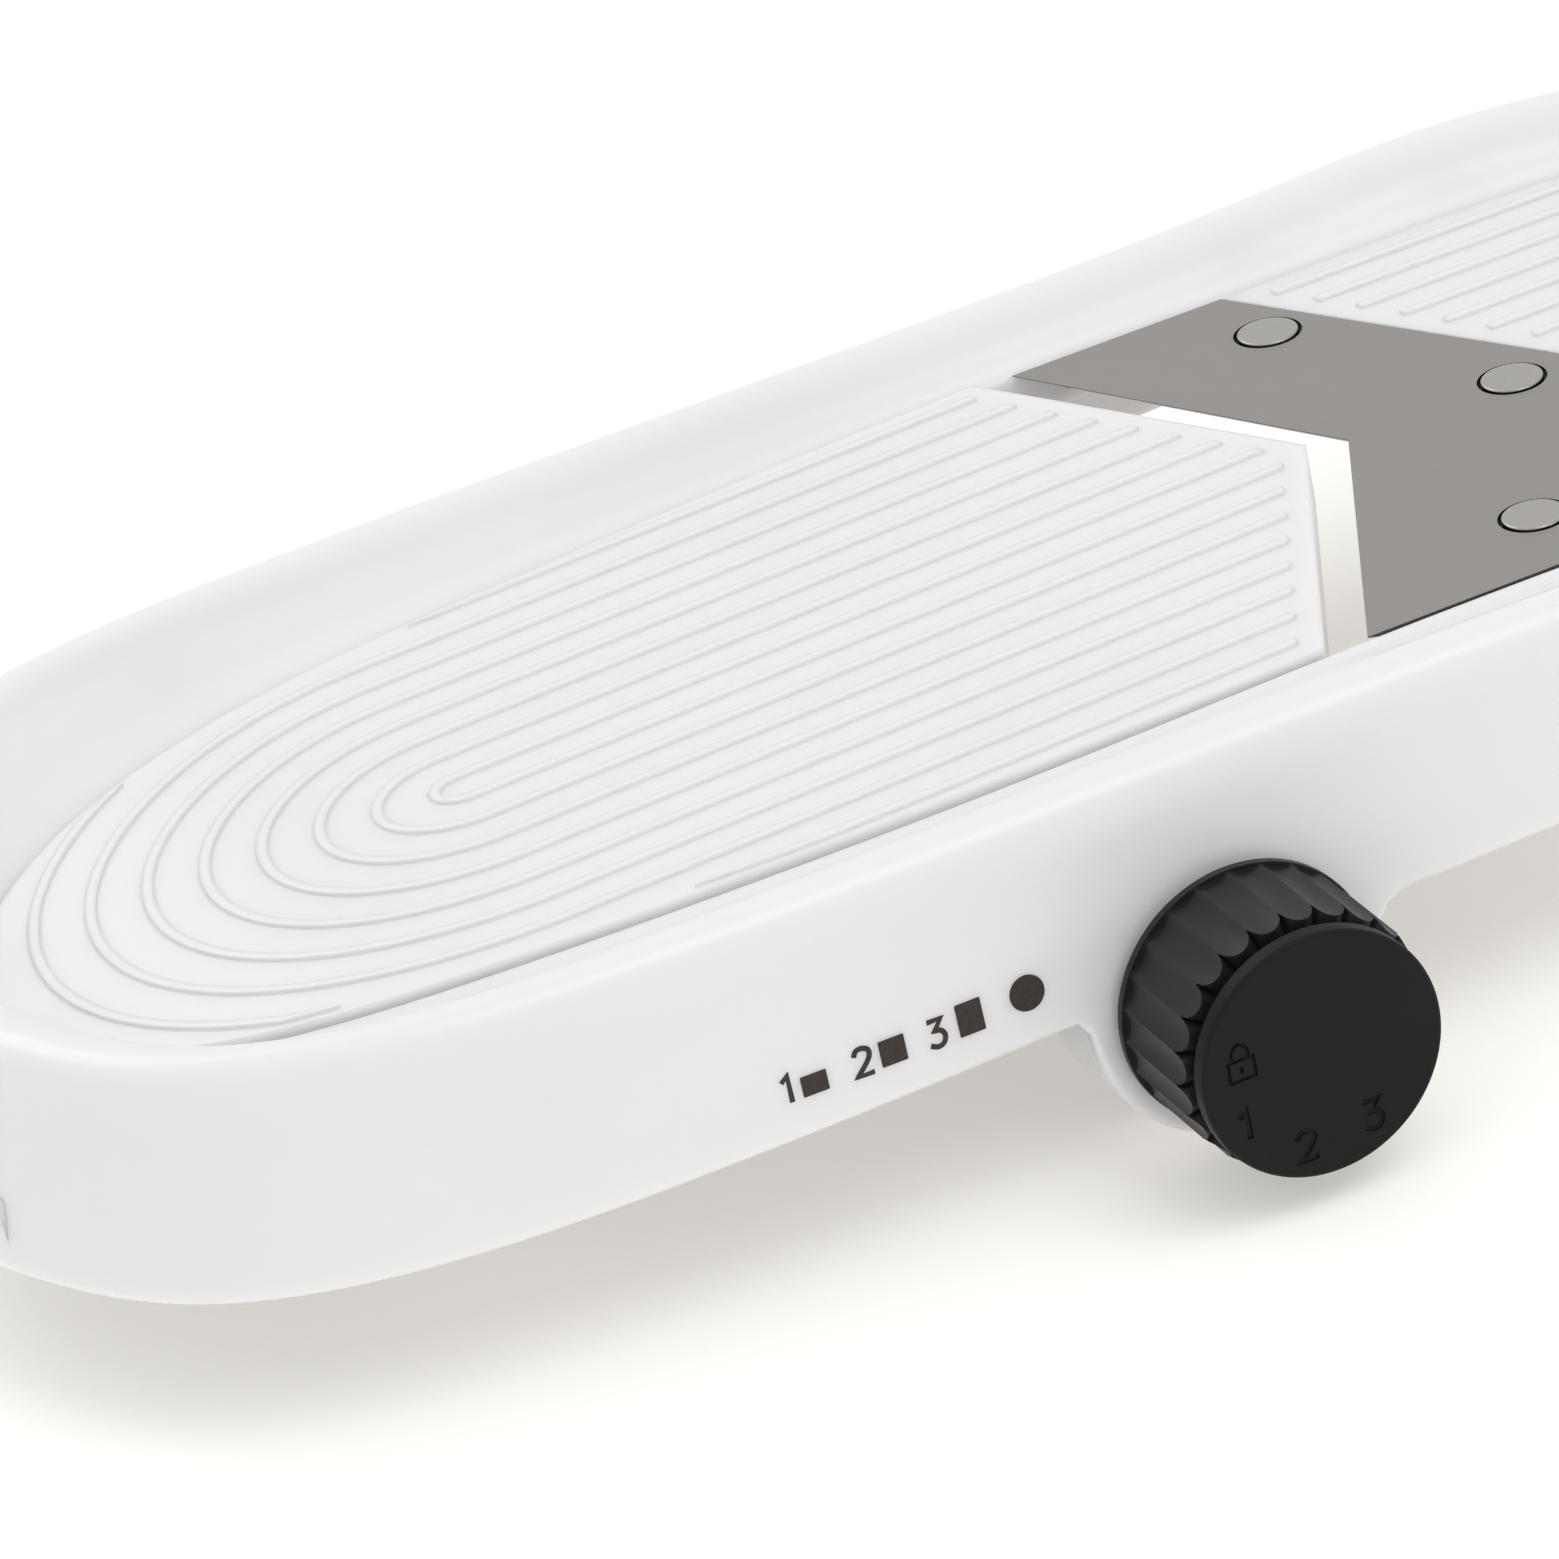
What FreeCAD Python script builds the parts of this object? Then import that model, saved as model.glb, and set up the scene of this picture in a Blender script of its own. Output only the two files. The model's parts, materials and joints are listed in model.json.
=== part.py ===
import FreeCAD, Part
import math
import os
from FreeCAD import Vector

# Mandoline slicer with a V blade, an adjustable runway and a side knob.
# Millimetres. Everything is drawn in the blade's frame: x = 0 at the blade's front tips,
# y = 0 on the centre line, z = 0 at the blade's top face, +X towards the handle.
# save() moves each piece to the row frame: origin under the front foot, on the worktop.

# ---- driving dimensions -------------------------------------------------------------
STAND_HEIGHT = 42.0        # worktop to the blade's top face
FOOT_X = -107.0            # centre of the front foot

# Half outlines from nose to tail, one opening point per outer point.
OPENING = [(-147.6, 0), (-145.6, 11), (-138.5, 21.5), (-125, 31.5), (-106, 38), (-80, 41.8), (-40, 44.2),
           (0, 44.8), (35, 44.9), (66, 44.9), (86, 41.5), (101, 31), (109.5, 16), (111.5, 0)]
OUTLINE = [(-163.6, 0), (-161.6, 15), (-156.5, 29.5), (-146, 46), (-126, 57.4), (-92, 62.4), (-45, 63.1),
           (0, 63.0), (38, 64.2), (72, 65.0), (98, 55.5), (116, 40), (127, 22), (131, 0)]

WALL = 2.2                 # shell thickness
FLANGE_DEPTH = 6.0         # lip that hangs down around the opening
CREST = 3.9                # rim height above the blade
SKIRT_BOTTOM = -19.9       # skirt's lower edge beside the blade tips
SKIRT_RISE = 0.0235        # the skirt gets shorter towards the handle

RUNWAY_LOCK = 0.8          # runway above the blade when locked, at x = 0
RUNWAY_SLOPE = 0.03
RUNWAY_BEND_X = -85.0      # in front of here the runway curves down
RUNWAY_BEND_R = 420.0
RUNWAY_THICK = 2.6
RUNWAY_GAP = 0.5           # between the runway's edge and the opening
V_GAP = 5.2                # open throat between runway and cutting edge, along x
RIDGE_PITCH = 5.46
RIDGE_WIDTH = 1.2
RIDGE_HEIGHT = 0.4
RIDGE_LOOPS = 8
LOOP_CENTRE_X = -89.5
LOOP_STRETCH = 1.22        # length of a loop's end over its half width

BLADE_HALF = 44.4
BLADE_VERTEX = 21.1        # how far the cutting edge runs back at the middle
BLADE_SIDE = 27.5          # length of the blade along its sides
BLADE_APEX = 50.3          # rear corner on the centre line
BLADE_THICK = 1.2
RIVETS = [(27.4, 32.1), (27.4, -32.1), (42.3, 0.0)]
RIVET_HEAD_R = 3.6
RIVET_SEAT_R = 4.05
RIVET_SHANK_R = 2.4

SHAFT_X = -29.6
SHAFT_Z = -23.6
SHAFT_R = 4.0
PAD_FACE = 63.4            # outer face of the shaft pads on both sides
PAD_R = 17.3
PAD_FILLET = 3.0
PAD_INNER = 51.0           # how far in the pad's cup reaches
BUSH_R = 5.5
BUSH_FLANGE = 1.4
BUSH_IN = PAD_FACE - 3.6   # inner face of the pad's plate
SHAFT_KNOB_END = -75.0
CLIP_Y = 55.9
RUNNING = 0.05             # radial clearance of shafts in bores

CAM_R = 10.0
CAM_Y = 30.0
CAM_WIDTH = 6.0
CAM_CLEAR = 0.35
KNOB_TURN = 135.0          # degrees from lock to the thickest setting
RUNWAY_DROP = 1.9          # degrees that the runway tilts over the same turn

HINGE_X = -141.0
HINGE_Z = -17.2
HINGE_PIN_R = 1.5

KNOB_BACK = -64.4
KNOB_FRONT = -82.6
KNOB_R = 15.0
KNOB_FLANGE = 0.9
KNOB_FLUTES = 24
RIDGE_R = 14.85            # sharp ridges between the flutes
FLUTE_R = 14.3
CAP_R = 14.1

DETENT_X = SHAFT_X
DETENT_Z = SHAFT_Z + 10.5
DETENT_R = 1.6

SCREW_R = 1.5
DECK_TAB_Z = -8.6
CROSSBAR_TOP = -13.0
# Screw bosses under the rim as x, y, bottom, top: two pairs for the deck, one for the front crossbar.
SHELL_BOSSES = [(34.0, 51.0, DECK_TAB_Z + 2.4, 0.3), (62.0, 51.0, DECK_TAB_Z + 2.4, 0.3),
                (FOOT_X, 50.0, CROSSBAR_TOP, -1.0)]
FOOT_SCREW_Y = 11.0
FOOT_HALF_X = 9.0
FOOT_HALF_Y = 19.0

STAND_X = 82.0
STAND_Z = -9.0
STAND_HALF = 38.0
STAND_LEG = 7.0
STAND_FOOT_X = 88.0
STAND_PIN_R = 2.0
PAD_THICK = 2.0

HANDLE_Z = -10.5
HANDLE_END = 214.0
HANDLE_CORE_HALF = 11.0
HANDLE_CORE_Z0 = -16.0
HANDLE_CORE_Z1 = -7.0
HANDLE_SCREWS_X = [88.0, 102.0]
EYELET_X = 203.0
EYELET_R = 6.2
EYELET_BORE = 4.5


# ---- helpers ------------------------------------------------------------------------
def box(x0, x1, y0, y1, z0, z1):
    """A block between two corners."""
    return Part.makeBox(x1 - x0, y1 - y0, z1 - z0, Vector(x0, y0, z0))


def rod_y(x, z, r, y0, y1):
    """A round bar along Y."""
    return Part.makeCylinder(r, y1 - y0, Vector(x, y0, z), Vector(0, 1, 0))


def rod_z(x, y, r, z0, z1):
    """A round bar along Z."""
    return Part.makeCylinder(r, z1 - z0, Vector(x, y, z0), Vector(0, 0, 1))


def prism(points, z0, z1):
    """A closed polygon in XY, raised from z0 to z1."""
    corners = [Vector(x, y, z0) for x, y in points]
    face = Part.Face(Part.makePolygon(corners + corners[:1]))
    return face.extrude(Vector(0, 0, z1 - z0))


def slab_xz(points, y0, y1):
    """A closed polygon in XZ, extruded along Y."""
    corners = [Vector(x, y0, z) for x, z in points]
    face = Part.Face(Part.makePolygon(corners + corners[:1]))
    return face.extrude(Vector(0, y1 - y0, 0))


def both_sides(shape):
    """The shape and its mirror image across the centre plane."""
    return [shape, shape.mirror(Vector(0, 0, 0), Vector(0, 1, 0))]


def fuse(shapes):
    """Several shapes as one solid, with split faces merged."""
    joined = shapes[0].multiFuse(shapes[1:]) if len(shapes) > 1 else shapes[0]
    return joined.removeSplitter()


def save(name, solids):
    """Writes one node: one or more closed solids, moved to the row frame."""
    solids = solids if isinstance(solids, list) else [solids]
    moved = []
    for shape in solids:
        for solid in shape.Solids:
            copy = solid.copy()
            copy.translate(Vector(-FOOT_X, 0, STAND_HEIGHT))
            moved.append(copy)
    node = moved[0] if len(moved) == 1 else Part.makeCompound(moved)
    box_now = node.BoundBox
    print("%-18s %2d solid(s) %9.1f mm3 valid %s  z %.2f..%.2f" % (
        name, len(moved), node.Volume, node.isValid(), box_now.ZMin, box_now.ZMax))
    node.exportStep("parts/%s.step" % name)


def full_loop(half):
    """Tail to tail around the nose, from a half outline given from nose to tail."""
    left = [(x, -y) for x, y in reversed(half)]
    return left + half[1:]


def spacing(lines, closed):
    """Shared parameters from 0 to 1 for point lists, by their average chord lengths."""
    count = len(lines[0])
    steps = count - (0 if closed else 1)
    lengths = [sum(line[i].distanceToPoint(line[(i + 1) % count]) for line in lines) for i in range(steps)]
    total = sum(lengths)
    return [sum(lengths[:i]) / total for i in range(steps + 1)]


def loop_parameters():
    """Where each station lies around the loop. Every curve around the opening shares it."""
    return spacing([[Vector(x, y, 0) for x, y in full_loop(half)[:-1]] for half in (OPENING, OUTLINE)], True)


def loop_wire(half, inset, z):
    """A smooth closed outline, moved inwards by inset."""
    points = full_loop(half)[:-1]
    count = len(points)
    moved = []
    for i, (x, y) in enumerate(points):
        before = points[i - 1]
        after = points[(i + 1) % count]
        along = Vector(after[0] - before[0], after[1] - before[1], 0).normalize()
        moved.append(Vector(x + along.y * inset, y - along.x * inset, z))
    curve = Part.BSplineCurve()
    curve.interpolate(Points=moved, PeriodicFlag=True, Parameters=loop_parameters())
    return Part.Wire([curve.toShape()])


def loop_prism(half, inset, z0, z1):
    """The area inside an outline, as a block."""
    return Part.Face(loop_wire(half, inset, z0)).extrude(Vector(0, 0, z1 - z0))


def runway_top(x):
    """Height of the locked runway's surface between its ridges."""
    height = RUNWAY_LOCK + RUNWAY_SLOPE * x
    if x < RUNWAY_BEND_X:
        height -= (RUNWAY_BEND_X - x) ** 2 / (2 * RUNWAY_BEND_R)
    return height


def runway_slab(above, below):
    """The runway's curved layer from runway_top - below to runway_top + above, over its whole width."""
    def edge(x, shift):
        return Vector(x, -50, runway_top(x) + shift)

    nose, middle, bend, tail = -152.0, (-152.0 + RUNWAY_BEND_X) / 2, RUNWAY_BEND_X, 22.0
    upper = [Part.Arc(edge(nose, above), edge(middle, above), edge(bend, above)).toShape(),
             Part.LineSegment(edge(bend, above), edge(tail, above)).toShape()]
    lower = [Part.LineSegment(edge(tail, -below), edge(bend, -below)).toShape(),
             Part.Arc(edge(bend, -below), edge(middle, -below), edge(nose, -below)).toShape()]
    ends = [Part.LineSegment(edge(tail, above), edge(tail, -below)).toShape(),
            Part.LineSegment(edge(nose, -below), edge(nose, above)).toShape()]
    wire = Part.Wire(upper + [ends[0]] + lower + [ends[1]])
    return Part.Face(wire).extrude(Vector(0, 100, 0))


def v_edge_x(y, shift):
    """X of the cutting edge at y, moved along X by shift."""
    return BLADE_VERTEX * (1 - abs(y) / BLADE_HALF) + shift


def behind_v(shift, z0, z1):
    """The space on the handle side of the cutting edge, moved along X by shift."""
    far = 60.0
    tip = v_edge_x(far, shift)
    return prism([(tip, -far), (BLADE_VERTEX + shift, 0), (tip, far), (300, far), (300, -far)], z0, z1)


# ---- body shell ---------------------------------------------------------------------
def shell_sections():
    """Points of the shell's upper and lower skin around the opening, one row per station."""
    crest_up = [(8.6, 3.25), (5.7, CREST), (3.5, 3.2), (2.3, 1.0), (1.7, -4.0), (0.7, -12.0)]
    crest_down = [(8.6, 1.1), (6.3, 1.7), (5.0, 1.0), (4.5, -1.2), (3.9, -5.0), (2.9, -12.0)]
    cove_run = 11.6
    cove_top = 1.5
    upper, lower = [], []
    for (cx, cy), (ox, oy) in zip(full_loop(OPENING)[:-1], full_loop(OUTLINE)[:-1]):
        base = Vector(cx, cy, 0)
        out = Vector(ox - cx, oy - cy, 0)
        width = out.Length
        out.normalize()
        edge = min(0.0, runway_top(cx) - RUNWAY_LOCK)
        hem = SKIRT_BOTTOM + SKIRT_RISE * ox
        flank = width - cove_run
        top = [(0, edge - FLANGE_DEPTH), (0, edge - 3.6), (0, edge - 1.4), (0.15, edge - 0.5), (0.7, edge)]
        top += [(0.7 + (flank - 0.7) * q, edge + (cove_top - edge) * q ** 1.3) for q in (0.4, 0.7, 1.0)]
        top += [(width - run, height) for run, height in crest_up] + [(width, hem)]
        start = WALL + 0.9
        under = [(WALL, edge - FLANGE_DEPTH), (WALL, edge - 4.4), (WALL, edge - WALL - 1.2),
                 (WALL + 0.2, edge - WALL - 0.4), (start, edge - WALL)]
        under += [(start + (flank - start) * q, edge - WALL + (cove_top - edge) * q ** 1.3)
                  for q in (0.4, 0.7, 1.0)]
        under += [(width - run, height) for run, height in crest_down] + [(width - WALL, hem)]
        upper.append([base + out * s + Vector(0, 0, z) for s, z in top])
        lower.append([base + out * s + Vector(0, 0, z) for s, z in under])
    return upper, lower


def skin(grid):
    """A smooth closed face: section curves through the points of each station, joined around the loop."""
    across = spacing(grid, False)
    around = loop_parameters()
    sections = []
    for row in grid:
        curve = Part.BSplineCurve()
        curve.interpolate(Points=row, Parameters=across)
        sections.append(curve)
    columns = []
    for line in zip(*[curve.getPoles() for curve in sections]):
        curve = Part.BSplineCurve()
        curve.interpolate(Points=list(line), PeriodicFlag=True, Parameters=around)
        columns.append(curve)
    poles = [list(row) for row in zip(*[curve.getPoles() for curve in columns])]
    surface = Part.BSplineSurface()
    surface.buildFromPolesMultsKnots(poles, columns[0].getMultiplicities(), sections[0].getMultiplicities(),
                                     columns[0].getKnots(), sections[0].getKnots(), True, False, 3, 3)
    return surface


def shell_ring():
    """The moulded ring: rim, skirt and inner lip in one even wall."""
    upper, lower = shell_sections()
    top = skin(upper)
    under = skin(lower)
    faces = [top.toShape(), under.toShape()]
    for edge in (0.0, 1.0):
        faces.append(Part.makeRuledSurface(top.vIso(edge).toShape(), under.vIso(edge).toShape()))
    shell = Part.makeShell(faces)
    shell.sewShape()
    ring = Part.Solid(shell)
    if ring.Volume < 0:
        ring.reverse()
    return ring


def shaft_pad():
    """The round pad that holds the shaft's far end: a cup, open to the inside, flush with the skirt's face."""
    inner = PAD_FACE - 3.6
    face = rod_y(SHAFT_X, SHAFT_Z, PAD_R, inner, 66)
    hem = SKIRT_BOTTOM + SKIRT_RISE * SHAFT_X
    for side in (-1, 1):
        # A small fillet where the pad leaves the skirt's edge.
        start = SHAFT_X + side * (PAD_R - 1.0)
        end = SHAFT_X + side * (PAD_R + PAD_FILLET)
        corner = box(min(start, end), max(start, end), inner, 66, hem - PAD_FILLET, hem + 1.0)
        face = face.fuse(corner.cut(rod_y(end, hem - PAD_FILLET, PAD_FILLET, inner - 1, 67)))
    section = [Vector(-100, y, z) for y, z in
               [(inner, -1), (61.3, -1), (61.6, -4), (62.6, -12), (63.2, -19), (PAD_FACE, -24),
                (PAD_FACE, -45), (inner, -45)]]
    drafted = Part.Face(Part.makePolygon(section + section[:1])).extrude(Vector(150, 0, 0))
    cup = rod_y(SHAFT_X, SHAFT_Z, PAD_R, PAD_INNER, inner + 0.5)
    cup = cup.cut(rod_y(SHAFT_X, SHAFT_Z, PAD_R - WALL, PAD_INNER - 1, inner + 1))
    return face.common(drafted).fuse(cup)


def body_shell():
    ring = shell_ring()
    extras = []
    extras += both_sides(shaft_pad())
    for x, y, z, top in SHELL_BOSSES:
        extras += both_sides(rod_z(x, y, 3.5, z, top))
    bracket = box(-157.0, HINGE_X + 3.5, 23.0, 27.0, HINGE_Z - 3.8, HINGE_Z + 3.0)
    extras += both_sides(bracket)
    shape = fuse([ring] + extras)
    holes = [rod_y(SHAFT_X, SHAFT_Z, BUSH_R, -70, 70),
             rod_y(HINGE_X, HINGE_Z, HINGE_PIN_R, -30, 30),
             rod_y(DETENT_X, DETENT_Z, DETENT_R, -70, -50),
             box(120, 140, -HANDLE_CORE_HALF, HANDLE_CORE_HALF, HANDLE_CORE_Z0, HANDLE_CORE_Z1)]
    for x, y, z, top in SHELL_BOSSES:
        holes += both_sides(rod_z(x, y, SCREW_R, z - 1, top - 1.5))
    return shape.cut(holes)


# ---- blade deck ---------------------------------------------------------------------
def blade_outline(grow):
    """The chevron's corners, moved outwards by grow at the rear and sides."""
    half = BLADE_HALF
    return [(0, -half), (BLADE_VERTEX, 0), (0, half), (BLADE_SIDE + grow, half),
            (BLADE_APEX + grow, 0), (BLADE_SIDE + grow, -half)]


def landing_deck():
    clearance = 0.25
    plate = loop_prism(OPENING, clearance, -4.0, 0.0)
    plate = plate.common(behind_v(6.5, -5, 5))
    recess = prism(blade_outline(0.25), -BLADE_THICK, 5)
    recess = recess.fuse(behind_v(0, -BLADE_THICK, 5).common(prism(
        [(-5, -60), (BLADE_SIDE, -60), (BLADE_SIDE, 60), (-5, 60)], -BLADE_THICK, 5)))
    plate = plate.cut(recess)
    # The ridges start 3.5 mm behind the blade.
    field = loop_prism(OPENING, clearance + 2.0, -0.5, RIDGE_HEIGHT)
    slope = (BLADE_APEX - BLADE_SIDE) / BLADE_HALF
    ridges = []
    for i in range(RIDGE_LOOPS):
        y = RIDGE_PITCH * (i + 0.5)
        start = BLADE_APEX + 3.5 - slope * y
        strip = box(start, 130, y - RIDGE_WIDTH / 2, y + RIDGE_WIDTH / 2, -1.0, 1.0)
        ridges += both_sides(strip.common(field))
    parts = [plate] + ridges
    # Side ribs carry the screw tabs under the rim and stiffen the deck.
    parts += both_sides(box(20, 76, 40.2, 42.6, DECK_TAB_Z, -3.0))
    for x, y, z, top in SHELL_BOSSES[:2]:
        parts += both_sides(box(x - 5, x + 5, 42.0, y + 4, DECK_TAB_Z, z))
    # Lugs for the folding stand, one each side of a leg.
    lug = box(STAND_X - 5, STAND_X + 5, STAND_HALF + 0.4, STAND_HALF + 3.4, STAND_Z, -3.0)
    lug = lug.fuse(rod_y(STAND_X, STAND_Z, 5.0, STAND_HALF + 0.4, STAND_HALF + 3.4))
    parts += both_sides(lug)
    # Blocks that the handle's core is screwed to.
    for x in HANDLE_SCREWS_X:
        parts.append(rod_z(x, 0, 5.0, HANDLE_CORE_Z1, -3.0))
    shape = fuse(parts)
    holes = []
    for x, y in RIVETS:
        holes.append(rod_z(x, y, RIVET_SHANK_R, -10, 5))
    for x, y, z, top in SHELL_BOSSES[:2]:
        holes += both_sides(rod_z(x, y, SCREW_R, -12, -5))
    holes.append(rod_y(STAND_X, STAND_Z, STAND_PIN_R, -60, 60))
    for x in HANDLE_SCREWS_X:
        holes.append(rod_z(x, 0, SCREW_R, -20, -2.0))
    return shape.cut(holes)


def v_blade():
    plate = prism(blade_outline(0), -BLADE_THICK, 0)
    edge_thick = 0.12
    bevel_run = 4.0
    direction = Vector(-BLADE_VERTEX, BLADE_HALF, 0)
    length = direction.Length
    direction.normalize()
    inward = Vector(direction.y, -direction.x, 0)
    cuts = []
    start = Vector(BLADE_VERTEX, 0, 0) - direction * 4
    corners = [start + Vector(0, 0, -edge_thick) - inward * 1.0, start + Vector(0, 0, -edge_thick),
               start + inward * bevel_run + Vector(0, 0, -BLADE_THICK),
               start + inward * bevel_run + Vector(0, 0, -BLADE_THICK - 1), start - inward * 1.0 + Vector(0, 0, -3)]
    wedge = Part.Face(Part.makePolygon(corners + corners[:1])).extrude(direction * (length + 8))
    half_space = box(-10, 60, 0, 60, -5, 5)
    cuts += both_sides(wedge.common(half_space))
    plate = plate.cut(cuts)
    for x, y in RIVETS:
        plate = plate.cut([rod_z(x, y, RIVET_SHANK_R, -5, 5), rod_z(x, y, RIVET_SEAT_R, -0.8, 5)])
    return plate


def rivet(x, y):
    """A flat headed rivet that sits in the blade's round seat and is closed under the deck."""
    head = rod_z(x, y, RIVET_HEAD_R, -0.8, 0.25)
    head = head.makeFillet(0.2, [e for e in head.Edges if e.BoundBox.ZMin > 0.2])
    shank = rod_z(x, y, RIVET_SHANK_R, -5.2, -0.5)
    tail = rod_z(x, y, RIVET_HEAD_R, -5.2, -4.0)
    return fuse([head, shank, tail])


# ---- runway -------------------------------------------------------------------------
def ridge_loop(half_width):
    """A U shaped strip: two straight runs joined by a half ellipse at the nose."""
    def path(w):
        centre = Vector(LOOP_CENTRE_X, 0, -20)
        long_r = LOOP_STRETCH * half_width + (w - half_width)
        ellipse = Part.Ellipse(centre, long_r, w)
        turn = Part.ArcOfEllipse(ellipse, math.pi / 2, 3 * math.pi / 2)
        upper = Part.LineSegment(Vector(22, w, -20), Vector(LOOP_CENTRE_X, w, -20))
        lower = Part.LineSegment(Vector(LOOP_CENTRE_X, -w, -20), Vector(22, -w, -20))
        return [upper.toShape(), turn.toShape(), lower.toShape()]

    outer, inner = half_width + RIDGE_WIDTH / 2, half_width - RIDGE_WIDTH / 2
    ends = [Part.LineSegment(Vector(22, side * inner, -20), Vector(22, side * outer, -20)).toShape()
            for side in (1, -1)]
    wire = Part.Wire(Part.__sortEdges__(path(outer) + path(inner) + ends))
    return Part.Face(wire).extrude(Vector(0, 0, 30))


def runway():
    keep = loop_prism(OPENING, RUNWAY_GAP, -40, 15).cut(behind_v(-V_GAP, -41, 16))
    # The tips end square, clear of the blade's sides.
    keep = keep.common(box(-200, 60, -BLADE_HALF, BLADE_HALF, -50, 20))
    plate = runway_slab(0, RUNWAY_THICK).common(keep)
    field = loop_prism(OPENING, RUNWAY_GAP + 1.0, -40, 15).cut(behind_v(-V_GAP - 3.2, -41, 16))
    layer = runway_slab(RIDGE_HEIGHT, 0.5).common(field)
    ridges = [ridge_loop(RIDGE_PITCH * (i + 0.5)).common(layer) for i in range(RIDGE_LOOPS)]
    # A lip hangs from the V edge and hides the mechanism behind it.
    parts = [plate] + ridges
    lip = keep.common(behind_v(-V_GAP - 2.0, -7.0, 16)).common(runway_slab(0, 7.0))
    parts.append(lip)
    for y, start in ((12.0, -118), (36.0, -92)):
        stiffener = runway_slab(-1.0, 5.6).common(box(start, 2 - y * 0.1, y - 0.9, y + 0.9, -40, 10))
        parts += both_sides(stiffener)
    follower = box(SHAFT_X - 15, SHAFT_X + 15, CAM_Y - 1.8, CAM_Y + 1.8, SHAFT_Z + CAM_R + CAM_CLEAR, -1.5)
    parts += both_sides(follower)
    ear = rod_y(HINGE_X, HINGE_Z, 3.4, 5.0, 11.0)
    web = box(HINGE_X - 3.0, HINGE_X + 4.5, 5.0, 11.0, HINGE_Z, runway_top(HINGE_X) - 1.0)
    parts += both_sides(ear.fuse(web))
    shape = fuse(parts)
    return shape.cut(rod_y(HINGE_X, HINGE_Z, HINGE_PIN_R + RUNNING, -40, 40))


# ---- cam shaft and knob -------------------------------------------------------------
def cam(y0):
    """A spiral lifting cam: it lets the runway down evenly as the knob turns from lock."""
    reach = SHAFT_X - HINGE_X
    drop = reach * math.tan(math.radians(RUNWAY_DROP))
    steps = 9
    points = []
    for i in range(steps + 1):
        turn = KNOB_TURN * i / steps
        r = CAM_R - drop * turn / KNOB_TURN
        a = math.radians(turn)
        points.append(Vector(SHAFT_X - r * math.sin(a), y0, SHAFT_Z + r * math.cos(a)))
    spiral = Part.BSplineCurve()
    spiral.interpolate(points)
    back_a = math.radians(-110)
    back = Vector(SHAFT_X - 8.5 * math.sin(back_a), y0, SHAFT_Z + 8.5 * math.cos(back_a))
    edge_a = math.radians(-50)
    edge = Vector(SHAFT_X - CAM_R * math.sin(edge_a), y0, SHAFT_Z + CAM_R * math.cos(edge_a))
    side = Part.BSplineCurve()
    side.interpolate([points[-1], Vector(SHAFT_X + 2.0, y0, SHAFT_Z - 6.4), back, edge])
    mid_a = math.radians(-25)
    mid = Vector(SHAFT_X - CAM_R * math.sin(mid_a), y0, SHAFT_Z + CAM_R * math.cos(mid_a))
    top = Part.Arc(edge, mid, points[0])
    face = Part.Face(Part.Wire([spiral.toShape(), side.toShape(), top.toShape()]))
    body = face.extrude(Vector(0, CAM_WIDTH, 0))
    return body.cut(rod_y(SHAFT_X, SHAFT_Z, SHAFT_R, y0 - 1, y0 + CAM_WIDTH + 1))


def cam_shaft():
    shaft = rod_y(SHAFT_X, SHAFT_Z, SHAFT_R, SHAFT_KNOB_END, 62.0)
    groove = rod_y(SHAFT_X, SHAFT_Z, 8, CLIP_Y, CLIP_Y + 1.0)
    groove = groove.cut(rod_y(SHAFT_X, SHAFT_Z, SHAFT_R - 0.6, CLIP_Y, CLIP_Y + 1.0))
    return shaft.cut([groove, rod_y(SHAFT_X, SHAFT_Z, SCREW_R, SHAFT_KNOB_END - 1, SHAFT_KNOB_END + 9)])


def bush(side):
    """A flanged bush in one shaft pad. side is -1 for the knob side, 1 for the far side."""
    inner, outer = BUSH_IN - BUSH_FLANGE, PAD_FACE
    body = rod_y(SHAFT_X, SHAFT_Z, BUSH_R, inner, outer)
    flange = rod_y(SHAFT_X, SHAFT_Z, BUSH_R + 1.8, inner, BUSH_IN)
    bore = rod_y(SHAFT_X, SHAFT_Z, SHAFT_R + RUNNING, inner - 1, outer + 1)
    shape = body.fuse(flange).cut(bore).removeSplitter()
    return shape if side > 0 else shape.mirror(Vector(0, 0, 0), Vector(0, 1, 0))


def fluted_outline(y):
    """The knob's cross section: broad hollow flutes that meet in sharp ridges."""
    step = 2 * math.pi / KNOB_FLUTES
    arcs = []

    def point(r, a):
        return Vector(SHAFT_X + r * math.cos(a), y, SHAFT_Z + r * math.sin(a))

    for i in range(KNOB_FLUTES):
        a = i * step
        arcs.append(Part.Arc(point(RIDGE_R, a), point(FLUTE_R, a + step / 2), point(RIDGE_R, a + step)).toShape())
    return Part.Face(Part.Wire(arcs))


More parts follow.
